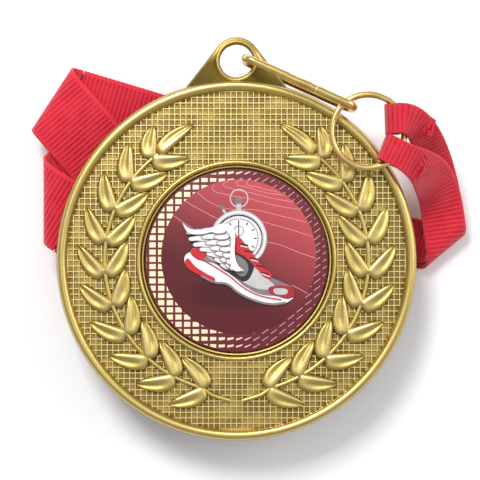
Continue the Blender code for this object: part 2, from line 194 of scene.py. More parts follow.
def from_curve(name: str, curve: bpy.types.Curve) -> Object:
    """Make a curve a mesh object and drop the curve."""
    carrier = bpy.data.objects.new(name + "_curve", curve)
    bpy.context.scene.collection.objects.link(carrier)
    graph = bpy.context.evaluated_depsgraph_get()
    mesh = bpy.data.meshes.new_from_object(carrier.evaluated_get(graph))
    bpy.data.objects.remove(carrier)
    body = bmesh.new()
    body.from_mesh(mesh)
    bmesh.ops.remove_doubles(body, verts=body.verts, dist=1e-7)
    return from_bmesh(name, body)


def cut(target: Object, tool: Object) -> None:
    """Cut a tool's shape out of a piece and drop the tool."""
    modifier = target.modifiers.new("cut", "BOOLEAN")
    modifier.operation = "DIFFERENCE"
    modifier.object = tool
    graph = bpy.context.evaluated_depsgraph_get()
    mesh = bpy.data.meshes.new_from_object(target.evaluated_get(graph))
    target.modifiers.clear()
    target.data = mesh
    bpy.data.objects.remove(tool)


# ---------------------------------------------------------------- node graphs

@dataclass
class Graph:
    """A node tree with short ways to add and join its nodes."""

    tree: NodeTree

    def add(self, kind: str, **settings: object) -> Node:
        """Add a node and set its properties."""
        node = self.tree.nodes.new(kind)
        for key, value in settings.items():
            setattr(node, key, value)
        return node

    def feed(self, socket: NodeSocket, value: object) -> None:
        """Link a socket into another, or set the other's plain value."""
        if isinstance(value, NodeSocket):
            self.tree.links.new(value, socket)
        else:
            socket.default_value = value

    def maths(self, operation: str, first: object, second: object = 0.0, third: object = None) -> NodeSocket:
        """Result of a Math node, with a third number where the operation takes one."""
        node = self.add("ShaderNodeMath", operation=operation)
        self.feed(node.inputs[0], first)
        self.feed(node.inputs[1], second)
        if third is not None:
            self.feed(node.inputs[2], third)
        return node.outputs[0]

    def span(self, value: object, low: float, high: float, start: float = 0.0,
             end: float = 1.0) -> NodeSocket:
        """A value mapped smoothly from one range to another and held there."""
        node = self.add("ShaderNodeMapRange", interpolation_type="SMOOTHSTEP")
        for socket, given in zip(node.inputs[:5], (value, low, high, start, end)):
            self.feed(socket, given)
        return node.outputs[0]

    def mix(self, share: object, first: object, second: object) -> NodeSocket:
        """A colour between two colours."""
        node = self.add("ShaderNodeMix", data_type="RGBA")
        self.feed(node.inputs["Factor"], share)
        self.feed(node.inputs[6], first)
        self.feed(node.inputs[7], second)
        return node.outputs[2]

    def parts(self, vector: object) -> tuple[NodeSocket, NodeSocket, NodeSocket]:
        """The three numbers of a vector."""
        node = self.add("ShaderNodeSeparateXYZ")
        self.feed(node.inputs[0], vector)
        return node.outputs[0], node.outputs[1], node.outputs[2]

    def bump(self, height: object, distance: float, normal: object = None) -> NodeSocket:
        """Normal of a bumpy surface."""
        node = self.add("ShaderNodeBump")
        node.inputs["Distance"].default_value = distance
        self.feed(node.inputs["Height"], height)
        if normal is not None:
            self.feed(node.inputs["Normal"], normal)
        return node.outputs[0]

    def object_place(self) -> NodeSocket:
        """The surface point in the object's coordinates."""
        return self.add("ShaderNodeTexCoord").outputs["Object"]


def new_group(name: str, takes: dict[str, str], gives: dict[str, str]) -> tuple[Graph, Node, Node]:
    """Start a shader node group.

    Args:
        name: Name of the group.
        takes: Socket type of each input, by name.
        gives: Socket type of each output, by name.

    Returns:
        The group's graph, its input node and its output node.
    """
    tree = bpy.data.node_groups.new(name, "ShaderNodeTree")
    for label, kind in takes.items():
        tree.interface.new_socket(label, in_out="INPUT", socket_type=kind)
    for label, kind in gives.items():
        tree.interface.new_socket(label, in_out="OUTPUT", socket_type=kind)
    graph = Graph(tree)
    return graph, graph.add("NodeGroupInput"), graph.add("NodeGroupOutput")


FLOAT = "NodeSocketFloat"
VECTOR = "NodeSocketVector"


def grain_group() -> NodeTree:
    """Fine pits over broad waviness, as a height and a blotch mask, for every finish."""
    graph, given, result = new_group(
        "surface_grain", {"Vector": VECTOR, "Fine": FLOAT, "Broad": FLOAT},
        {"Height": FLOAT, "Blotch": FLOAT})
    fine = graph.add("ShaderNodeTexNoise")
    graph.feed(fine.inputs["Vector"], given.outputs["Vector"])
    graph.feed(fine.inputs["Scale"], given.outputs["Fine"])
    fine.inputs["Detail"].default_value = 4.0
    broad = graph.add("ShaderNodeTexNoise")
    graph.feed(broad.inputs["Vector"], given.outputs["Vector"])
    graph.feed(broad.inputs["Scale"], given.outputs["Broad"])
    broad.inputs["Detail"].default_value = 5.0
    height = graph.maths("MULTIPLY_ADD", broad.outputs["Fac"], 0.6)
    height.node.inputs[2].default_value = 0.0
    graph.tree.links.new(fine.outputs["Fac"], height.node.inputs[2])
    graph.feed(result.inputs["Height"], height)
    graph.feed(result.inputs["Blotch"], graph.span(broad.outputs["Fac"], 0.35, 0.68))
    return graph.tree


def relief_group() -> NodeTree:
    """Tone by height: 0 in the hollows of a stamping, 1 on its high spots; the gold finishes use it for
    patina with painted shade in the hollows and a painted highlight on the high spots.
    """
    graph, given, result = new_group(
        "relief_tone", {"Vector": VECTOR, "Floor": FLOAT, "Top": FLOAT, "Blotch": FLOAT},
        {"Tone": FLOAT})
    height = graph.parts(given.outputs["Vector"])[2]
    shift = graph.maths("MULTIPLY", graph.maths("SUBTRACT", given.outputs["Blotch"], 0.5), 0.07 * MM)
    node = graph.add("ShaderNodeMapRange", interpolation_type="SMOOTHSTEP")
    graph.feed(node.inputs[0], graph.maths("ADD", height, shift))
    graph.feed(node.inputs[1], given.outputs["Floor"])
    graph.feed(node.inputs[2], given.outputs["Top"])
    graph.feed(result.inputs["Tone"], node.outputs[0])
    return graph.tree


def rib_group() -> NodeTree:
    """Ribs across a woven strip, as a height and a shade mask, from its own UV map; the mask is low in the
    valleys between ribs, which the cloth darkens as painted shade.
    """
    graph, given, result = new_group(
        "rib_weave", {"UV": VECTOR, "Ribs": FLOAT, "Ends": FLOAT}, {"Height": FLOAT, "Shade": FLOAT})
    across, along, _ = graph.parts(given.outputs["UV"])
    rib = graph.maths("SINE", graph.maths("MULTIPLY", along, given.outputs["Ribs"]))
    ends = graph.maths("SINE", graph.maths("MULTIPLY", across, given.outputs["Ends"]))
    middle = graph.maths("ABSOLUTE", graph.maths("SUBTRACT", across, 0.5))
    inside = graph.span(middle, 0.455, 0.435)
    crown = graph.maths("MULTIPLY", graph.maths("MULTIPLY_ADD", rib, 0.5, 0.5), inside)
    height = graph.maths("MULTIPLY_ADD", ends, 0.12, crown)
    graph.feed(result.inputs["Height"], height)
    edge = graph.maths("SUBTRACT", 1.0, inside)
    graph.feed(result.inputs["Shade"], graph.maths("MAXIMUM", crown, edge))
    return graph.tree


# ---------------------------------------------------------------- finishes

@dataclass(frozen=True)
class Groups:
    """The node groups that the finishes share."""

    grain: NodeTree
    relief: NodeTree
    ribs: NodeTree


def start_material(name: str) -> tuple[Material, Graph, Node]:
    """A new material, its graph and its Principled BSDF."""
    made = bpy.data.materials.new(name)
    made.use_nodes = True
    return made, Graph(made.node_tree), made.node_tree.nodes["Principled BSDF"]


def add_grain(graph: Graph, groups: Groups, fine: float, broad: float) -> Node:
    """Add the grain group, on object coordinates, to a material."""
    node = graph.add("ShaderNodeGroup", node_tree=groups.grain)
    graph.feed(node.inputs["Vector"], graph.object_place())
    node.inputs["Fine"].default_value = fine
    node.inputs["Broad"].default_value = broad
    return node


@dataclass(frozen=True)
class GoldPlate:
    """Satin gold plate on a stamping, darker in its hollows from antique patina and painted shade, and
    lighter on its high spots from a painted highlight.
    """

    groups: Groups
    floor: float
    top: float
    # The hollow colour is antique patina together with painted shade; the high colour is a painted highlight.
    hollow_patina_and_shade: Colour = (0.24, 0.16, 0.035, 1.0)
    flat: Colour = (0.62, 0.475, 0.155, 1.0)
    high: Colour = (0.86, 0.74, 0.36, 1.0)
    roughness: Point = (0.5, 0.34)

    def material(self, name: str) -> Material:
        """Build the plated metal under a name."""
        made, graph, shader = start_material(name)
        grain = add_grain(graph, self.groups, 5200.0, 420.0)
        relief = graph.add("ShaderNodeGroup", node_tree=self.groups.relief)
        graph.feed(relief.inputs["Vector"], graph.object_place())
        graph.feed(relief.inputs["Blotch"], grain.outputs["Blotch"])
        relief.inputs["Floor"].default_value = self.floor
        relief.inputs["Top"].default_value = self.top
        tone = relief.outputs["Tone"]
        # Darker towards the hollows (patina with painted shade), lighter towards the high spots (painted
        # highlight).
        low = graph.mix(graph.span(tone, 0.0, 0.55), self.hollow_patina_and_shade, self.flat)
        colour = graph.mix(graph.span(tone, 0.5, 1.0), low, self.high)
        worn = graph.mix(graph.maths("MULTIPLY", grain.outputs["Blotch"], 0.25), colour, self.flat)
        graph.feed(shader.inputs["Base Color"], worn)
        graph.feed(shader.inputs["Roughness"], graph.span(tone, 0.0, 1.0, *self.roughness))
        graph.feed(shader.inputs["Normal"], graph.bump(grain.outputs["Height"], 0.02 * MM))
        shader.inputs["Metallic"].default_value = 1.0
        return made


@dataclass(frozen=True)
class WireGold:
    """Bright gold plate on drawn wire."""

    groups: Groups
    base: Colour = (0.86, 0.66, 0.27, 1.0)
    dark: Colour = (0.62, 0.42, 0.13, 1.0)

    def material(self, name: str) -> Material:
        """Build the wire's metal under a name."""
        made, graph, shader = start_material(name)
        grain = add_grain(graph, self.groups, 3800.0, 650.0)
        graph.feed(shader.inputs["Base Color"], graph.mix(grain.outputs["Blotch"], self.base, self.dark))
        graph.feed(shader.inputs["Roughness"], graph.span(grain.outputs["Blotch"], 0.0, 1.0, 0.2, 0.34))
        graph.feed(shader.inputs["Normal"], graph.bump(grain.outputs["Height"], 0.008 * MM))
        shader.inputs["Metallic"].default_value = 1.0
        return made


@dataclass(frozen=True)
class PrintInk:
    """One ink of the emblem, under a clear gloss film."""

    groups: Groups
    colour: Colour
    faded: Colour

    def material(self, name: str) -> Material:
        """Build the ink under a name."""
        made, graph, shader = start_material(name)
        grain = add_grain(graph, self.groups, 9000.0, 900.0)
        share = graph.maths("MULTIPLY", grain.outputs["Blotch"], 0.5)
        graph.feed(shader.inputs["Base Color"], graph.mix(share, self.colour, self.faded))
        graph.feed(shader.inputs["Roughness"], graph.span(grain.outputs["Blotch"], 0.0, 1.0, 0.4, 0.5))
        shader.inputs["Specular IOR Level"].default_value = 0.15
        shader.inputs["Coat Weight"].default_value = 0.12
        shader.inputs["Coat Roughness"].default_value = 0.2
        return made


@dataclass(frozen=True)
class TrackPrint:
    """The disc's printed ground: a shaded red field inside a chequered border."""

    groups: Groups
    centre: Vector
    bright: Colour = (0.52, 0.08, 0.095, 1.0)
    dark: Colour = (0.11, 0.019, 0.024, 1.0)
    border: Colour = (0.15, 0.026, 0.036, 1.0)
    cream: Colour = (0.95, 0.78, 0.52, 1.0)
    pale: Colour = (0.72, 0.42, 0.42, 1.0)
    field_radius: float = 10.75 * MM
    cell_x: float = 1.2 * MM
    cell_y: float = 1.0 * MM

    def chequer(self, graph: Graph, x: NodeSocket, y: NodeSocket) -> NodeSocket:
        """Mask of the border's marks: squares at the left, dashes in the middle, slashes at the right."""
        sideways = graph.maths("DIVIDE", x, self.cell_x)
        upward = graph.maths("DIVIDE", y, self.cell_y)
        right = graph.span(x, -4.0 * MM, 6.0 * MM)
        in_x = graph.maths("SUBTRACT", graph.maths("FRACT", graph.maths("ADD", sideways, 100.2)), 0.5)
        in_y = graph.maths("SUBTRACT", graph.maths("FRACT", graph.maths("ADD", upward, 100.35)), 0.5)
        slope = graph.maths("MULTIPLY", in_x, graph.maths("MULTIPLY", right, 0.9))
        off = graph.maths("ABSOLUTE", graph.maths("SUBTRACT", in_y, slope))
        tall = graph.span(x, -8.5 * MM, 4.0 * MM, 0.35, 0.05)
        wide = graph.maths("LESS_THAN", graph.maths("ABSOLUTE", in_x), 0.36)
        return graph.maths("MULTIPLY", wide, graph.maths("LESS_THAN", off, tall))

    def material(self, name: str) -> Material:
        """Build the printed ground under a name."""
        made, graph, shader = start_material(name)
        grain = add_grain(graph, self.groups, 9000.0, 900.0)
        x, y, _ = graph.parts(graph.object_place())
        x = graph.maths("SUBTRACT", x, self.centre.x)
        y = graph.maths("SUBTRACT", y, self.centre.y)
        lit = graph.maths("ADD", graph.maths("MULTIPLY", x, 0.5), graph.maths("MULTIPLY", y, 0.85))
        field = graph.mix(graph.span(lit, -5.0 * MM, 13.0 * MM), self.dark, self.bright)
        shade_x = graph.maths("DIVIDE", graph.maths("ADD", x, 0.4 * MM), 8.0)
        shade_y = graph.maths("DIVIDE", graph.maths("ADD", y, 4.6 * MM), 2.6)
        reach = graph.maths("SQRT", graph.maths("ADD", graph.maths("POWER", shade_x, 2.0),
                                                graph.maths("POWER", shade_y, 2.0)))
        shade = graph.span(reach, 0.45 * MM, 1.15 * MM, 0.55, 0.0)
        field = graph.mix(shade, field, (0.05, 0.012, 0.016, 1.0))
        from_middle = graph.maths("SQRT", graph.maths("ADD", graph.maths("POWER", x, 2.0),
                                                      graph.maths("POWER", y, 2.0)))
        inner_x = graph.maths("SUBTRACT", x, 0.3 * MM)
        inner_y = graph.maths("SUBTRACT", y, 0.5 * MM)
        inner = graph.maths("SQRT", graph.maths("ADD", graph.maths("POWER", inner_x, 2.0),
                                                graph.maths("POWER", inner_y, 2.0)))
        ink = graph.mix(graph.span(x, -3.0 * MM, 5.0 * MM), self.cream, self.pale)
        marks = graph.maths("MULTIPLY", self.chequer(graph, x, y),
                            graph.maths("LESS_THAN", from_middle, 12.45 * MM))
        border = graph.mix(marks, self.border, ink)
        colour = graph.mix(graph.maths("GREATER_THAN", inner, self.field_radius), field, border)
        graph.feed(shader.inputs["Base Color"], colour)
        graph.feed(shader.inputs["Roughness"], graph.span(grain.outputs["Blotch"], 0.0, 1.0, 0.38, 0.48))
        graph.feed(shader.inputs["Normal"], graph.bump(grain.outputs["Height"], 0.004 * MM))
        shader.inputs["Specular IOR Level"].default_value = 0.15
        shader.inputs["Coat Weight"].default_value = 0.12
        shader.inputs["Coat Roughness"].default_value = 0.2
        return made


@dataclass(frozen=True)
class RibbedCloth:
    """Ribbed ribbon cloth, woven across its width."""

    groups: Groups
    rib_pitch: float
    width: float
    rib_valley_painted_shade: Colour = (0.47, 0.004, 0.022, 1.0)
    crown: Colour = (0.7, 0.02, 0.045, 1.0)
    worn: Colour = (0.76, 0.05, 0.065, 1.0)

    def material(self, name: str) -> Material:
        """Build the cloth under a name. Its UV map counts both ways in ribbon widths."""
        made, graph, shader = start_material(name)
        ribs = graph.add("ShaderNodeGroup", node_tree=self.groups.ribs)
        graph.feed(ribs.inputs["UV"], graph.add("ShaderNodeUVMap", uv_map="cloth").outputs[0])
        ribs.inputs["Ribs"].default_value = math.tau * self.width / self.rib_pitch
        ribs.inputs["Ends"].default_value = math.tau * 34.0
        grain = add_grain(graph, self.groups, 16000.0, 500.0)
        # The valleys between ribs are darker than the crowns: painted shade in the grooves.
        colour = graph.mix(graph.span(ribs.outputs["Shade"], 0.0, 0.9), self.rib_valley_painted_shade, self.crown)
        fuzz = graph.maths("MULTIPLY", grain.outputs["Blotch"], 0.35)
        graph.feed(shader.inputs["Base Color"], graph.mix(fuzz, colour, self.worn))
        graph.feed(shader.inputs["Roughness"], graph.span(grain.outputs["Blotch"], 0.0, 1.0, 0.72, 0.88))
        rough = graph.bump(grain.outputs["Height"], 0.03 * MM)
        graph.feed(shader.inputs["Normal"], graph.bump(ribs.outputs["Height"], 0.07 * MM, rough))
        shader.inputs["Sheen Weight"].default_value = 0.35
        shader.inputs["Sheen Roughness"].default_value = 0.45
        shader.inputs["Specular IOR Level"].default_value = 0.25
        return made


@dataclass(frozen=True)
class PlainMatt:
    """A matt finish with a little grain, for thread and foam tape."""

    groups: Groups
    colour: Colour
    shade: Colour
    fine: float

    def material(self, name: str) -> Material:
        """Build the matt finish under a name."""
        made, graph, shader = start_material(name)
        grain = add_grain(graph, self.groups, self.fine, self.fine / 8.0)
        graph.feed(shader.inputs["Base Color"], graph.mix(grain.outputs["Blotch"], self.colour, self.shade))
        graph.feed(shader.inputs["Roughness"], graph.span(grain.outputs["Blotch"], 0.0, 1.0, 0.7, 0.9))
        graph.feed(shader.inputs["Normal"], graph.bump(grain.outputs["Height"], 0.02 * MM))
        return made


def dress(piece: Object, finish: Material, slot: str, body: Body, *nodes: str) -> Object:
    """Give a piece its material and body, and hide the CAD nodes it stands for.

    Args:
        piece: The finished piece.
        finish: Its material.
        slot: The record's material slot for its finish; not used.
        body: The body it rides on.
        nodes: CAD nodes that it replaces.

    Returns:
        The same piece.
    """
    piece.data.materials.clear()
    piece.data.materials.append(finish)
    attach(piece, body.value)
    if nodes:
        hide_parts(*nodes)
    LOG.info("%s: %d faces on %s", piece.name, len(piece.data.polygons), body.value)
    return piece


# ---------------------------------------------------------------- medal

@dataclass
class MedalBody:
    """The stamped disc with its rim, bead, lug, waffled ground and laurel wreath."""

    groups: Groups
    radius: float = 25.0 * MM
    field_top: float = 1.5 * MM
    rim_top: float = 2.4 * MM
    rim_width: float = 1.75 * MM
    recess_radius: float = 12.85 * MM
    recess_floor: float = 0.75 * MM
    bead_radius: float = 14.0 * MM
    lug_y: float = 27.7 * MM
    lug_radius: float = 3.3 * MM
    lug_foot: Point = (7.1 * MM, 23.6 * MM)
    lug_hole: float = 2.35 * MM
    lug_top: float = 1.45 * MM
    cell: float = 0.78 * MM
    wreath_radius: float = 18.3 * MM
    first_pair: float = 17.0
    pair_step: float = 14.05
    pairs: int = 10
    node: str = "medal_body"
    slot: str = "gold_plate"
    centre: Vector = field(init=False)

    def __post_init__(self) -> None:
        """Take the centre of the medal's back from its CAD box."""
        low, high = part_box(self.node)
        self.centre = Vector(((low[0] + high[0]) / 2, low[1] + self.radius, low[2]))

    def disc(self) -> Object:
        """The disc, rim and bead in one turned piece."""
        inner = self.radius - self.rim_width
        ledge = self.recess_radius + 0.35 * MM
        ground = self.field_top - 0.3 * MM
        profile = [(0.0, 0.0), (self.radius - 0.4 * MM, 0.0), (self.radius - 0.12 * MM, 0.12 * MM),
                   (self.radius, 0.4 * MM), (self.radius, 1.25 * MM), (self.radius - 0.1 * MM, 1.5 * MM)]
        profile += arch(inner + 0.3 * MM, self.radius - 0.12 * MM, 1.6 * MM, self.rim_top, 14)
        profile += [(inner + 0.22 * MM, 1.5 * MM), (inner, ground), (self.bead_radius, ground)]
        profile += arch(ledge, self.bead_radius, 1.4 * MM, 2.2 * MM, 12)
        profile += [(ledge - 0.05 * MM, 1.85 * MM), (ledge - 0.12 * MM, 1.98 * MM),
                    (self.recess_radius + 0.06 * MM, 1.95 * MM), (self.recess_radius, 1.8 * MM),
                    (self.recess_radius, self.recess_floor), (0.0, self.recess_floor)]
        return from_bmesh("medal_disc", turned(profile, self.centre, 220), 30.0)

    def lug(self) -> Object:
        """The pierced lug with soft edges; the raised lip round its hole is a piece of its own."""
        body = bmesh.new()
        foot_x, foot_y = self.lug_foot
        posts = [(0.0, self.lug_y, self.lug_radius, 72), (foot_x, foot_y, 0.2 * MM, 8),
                 (-foot_x, foot_y, 0.2 * MM, 8)]
        for x, y, radius, sides in posts:
            place = Matrix.Translation(self.centre + Vector((x, y, self.lug_top / 2)))
            bmesh.ops.create_cone(body, segments=sides, radius1=radius, radius2=radius,
                                  depth=self.lug_top, cap_ends=True, matrix=place)
        hull = bmesh.ops.convex_hull(body, input=body.verts)
        spare = set(hull["geom_interior"]) | set(hull["geom_unused"])
        bmesh.ops.delete(body, geom=[v for v in spare if isinstance(v, bmesh.types.BMVert)], context="VERTS")
        bmesh.ops.dissolve_limit(body, angle_limit=math.radians(1.0), verts=body.verts, edges=body.edges)
        rims = [e for e in body.edges if abs(e.verts[0].co.z - e.verts[1].co.z) < 1e-6]
        bmesh.ops.bevel(body, geom=rims, offset=0.28 * MM, segments=4, profile=0.5,
                        affect="EDGES", material=-1)
        plate = from_bmesh("medal_lug", body, 40.0)
        cut(plate, from_bmesh("hole_tool", self.post(self.lug_hole, 64)))
        return plate

    def post(self, radius: float, sides: int) -> bmesh.types.BMesh:
        """A cylinder through the lug's hole."""
        body = bmesh.new()
        place = Matrix.Translation(self.centre + Vector((0.0, self.lug_y, self.lug_top / 2)))
        bmesh.ops.create_cone(body, segments=sides, radius1=radius, radius2=radius,
                              depth=4 * self.lug_top, cap_ends=True, matrix=place)
        return body

    def lug_lip(self) -> Object:
        """The raised lip round the lug's hole."""
        foot = self.lug_top - 0.3 * MM
        profile = [(self.lug_hole + 0.62 * MM, foot)]
        profile += arch(self.lug_hole, self.lug_hole + 0.62 * MM, foot + 0.05 * MM,
                        self.lug_top + 0.2 * MM, 8)
        profile += [(self.lug_hole, foot), profile[0]]
        body = turned(profile, self.centre + Vector((0.0, self.lug_y, 0.0)), 64)
        return from_bmesh("lug_lip", body)

    def ground(self) -> Object:
        """The waffled ground: square pits between thin ridges."""
        cells = 64
        body = bmesh.new()
        bmesh.ops.create_grid(body, x_segments=cells, y_segments=cells, size=self.cell * cells / 2)
        inner, outer = self.bead_radius - 0.5 * MM, self.radius - self.rim_width + 0.75 * MM
        spare = [f for f in body.faces if not inner < f.calc_center_median().length < outer]
        bmesh.ops.delete(body, geom=spare, context="FACES")
        bmesh.ops.translate(body, verts=body.verts, vec=(0, 0, self.field_top - 0.4 * MM))
        lower = list(body.faces)
        raised = bmesh.ops.extrude_face_region(body, geom=lower, use_keep_orig=True)
        upper = [item for item in raised["geom"] if isinstance(item, bmesh.types.BMFace)]
        moved = list({vert for face in upper for vert in face.verts})
        bmesh.ops.translate(body, verts=moved, vec=(0, 0, 0.4 * MM))
        bmesh.ops.inset_individual(body, faces=upper, thickness=0.085 * MM, depth=0.0)
        bmesh.ops.inset_individual(body, faces=upper, thickness=0.06 * MM, depth=-0.1 * MM)
        bmesh.ops.inset_individual(body, faces=upper, thickness=0.07 * MM, depth=-0.13 * MM)
        bmesh.ops.translate(body, verts=body.verts, vec=self.centre)
        return from_bmesh("medal_ground", body, 25.0)

    def leaf(self, body: bmesh.types.BMesh, root: Vector, heading: float, side: int,
             length: float, width: float) -> None:
        """Add one laurel leaf to a bmesh.

        Args:
            body: The bmesh that takes the leaf.
            root: Plan place of the leaf's foot, from the medal's centre.
            heading: Heading of the leaf in degrees.
            side: 1 where the leaf bulges to its left, -1 to its right.
            length: Length from foot to tip.
            width: Greatest width.
        """
        grid = bmesh.ops.create_grid(body, x_segments=18, y_segments=12, size=1.0)
        along, out = heading_vector(heading), heading_vector(heading + 90.0) * side
        for vert in grid["verts"]:
            share, across = (vert.co.x + 1.0) / 2.0, vert.co.y
            half = width * 0.62 * (1.0 - share) ** 0.62 * (0.36 + share ** 0.5)
            crown = max(1.0 - abs(across) ** 4.0, 0.0) ** 0.7
            dip = 0.36 * math.exp(-((across - 0.12) / 0.42) ** 2) * ease((share - 0.08) * 2.4)
            lean = 1.0 - 0.08 * (across + 1.0)
            lengthwise = (0.8 + 0.2 * math.sin(math.pi * share)) * (1.0 - 0.4 * ease((share - 0.8) / 0.2))
            tall = 0.95 * MM * crown * (lean - dip) * lengthwise * ease(share / 0.1 + 0.15)
            bend = 0.42 * MM * math.sin(math.pi * share ** 0.8)
            spot = root + along * length * share + out * (bend + across * half)
            vert.co = self.centre + spot + Vector((0, 0, self.field_top - 0.2 * MM + tall))
        rim = [e for e in {edge for v in grid["verts"] for edge in v.link_edges} if e.is_boundary]
        bmesh.ops.holes_fill(body, edges=rim, sides=0)

    def leaves(self) -> Object:
        """Both branches' leaf pairs and their end leaves."""
        body = bmesh.new()
        for side in (1, -1):
            for pair in range(self.pairs):
                turn = self.first_pair + self.pair_step * pair
                heading = -90.0 - side * (turn + 90.0)
                notch = heading_vector(-90.0 - side * turn) * self.wreath_radius
                root = notch - heading_vector(heading) * 1.35 * MM
                last = pair == self.pairs - 1
                for splay in (1, -1):
                    outer = splay == side
                    angle = (48.0 if outer else 34.0) if last else (38.5 if outer else 35.0)
                    reach = (4.9 if outer else 5.5) * MM if last else 5.75 * MM
                    self.leaf(body, root, heading + splay * angle, splay, reach, 3.0 * MM)
                if last:
                    self.leaf(body, notch - heading_vector(heading) * 0.1 * MM, heading + side * 4.0,
                              side, 6.6 * MM, 2.6 * MM)
        bmesh.ops.remove_doubles(body, verts=body.verts, dist=1e-7)
        return from_bmesh("medal_leaves", body, 60.0)

    def stem(self, name: str, side: int) -> Object:
        """One branch's stem, half sunk in the ground, with its cut foot."""
        last = self.first_pair + self.pair_step * (self.pairs - 1)
        turns = [self.first_pair - 2.0 + (last - self.first_pair + 2.0) * i / 60 for i in range(61)]
        arc = [heading_vector(-90.0 - side * turn) * self.wreath_radius for turn in turns]
        places = ((0.85, -19.45), (2.2, -19.05), (3.5, -18.6))
        foot = [Vector((-side * x * MM, y * MM, 0.0)) for x, y in places]
        lift = self.centre + Vector((0, 0, self.field_top + 0.08 * MM))
        return wire(name, [spot + lift for spot in foot + arc], 0.34 * MM)

    def build(self) -> None:
        """Build and dress every piece of the stamping."""
        low = self.centre.z
        # The waffle's pits take the dark hollow colour and its ridge tops the light one: patina with painted
        # shade below, painted highlight above.
        waffle = GoldPlate(self.groups, low + 1.2 * MM, low + 1.52 * MM).material("gold_ground")
        plate = GoldPlate(self.groups, low + 1.35 * MM, low + 2.5 * MM).material("gold_plate")
        # The disc with its rim and bead, the lug and its lip take a darker copy of the plate's gold: painted
        # shade on the same metal.
        rim = GoldPlate(self.groups, low + 0.9 * MM, low + 2.6 * MM, flat=(0.56, 0.415, 0.125, 1.0),
                        high=(0.68, 0.52, 0.18, 1.0)).material("gold_rim_painted_shade")
        dress(self.disc(), rim, self.slot, Body.MEDAL, self.node)
        dress(self.lug(), rim, self.slot, Body.MEDAL, self.node)
        dress(self.lug_lip(), rim, self.slot, Body.MEDAL, self.node)
        dress(self.ground(), waffle, self.slot, Body.MEDAL, self.node)
        for piece in (self.leaves(), self.stem("left_stem", 1), self.stem("right_stem", -1)):
            dress(piece, plate, self.slot, Body.MEDAL, self.node)


# ---------------------------------------------------------------- printed centre

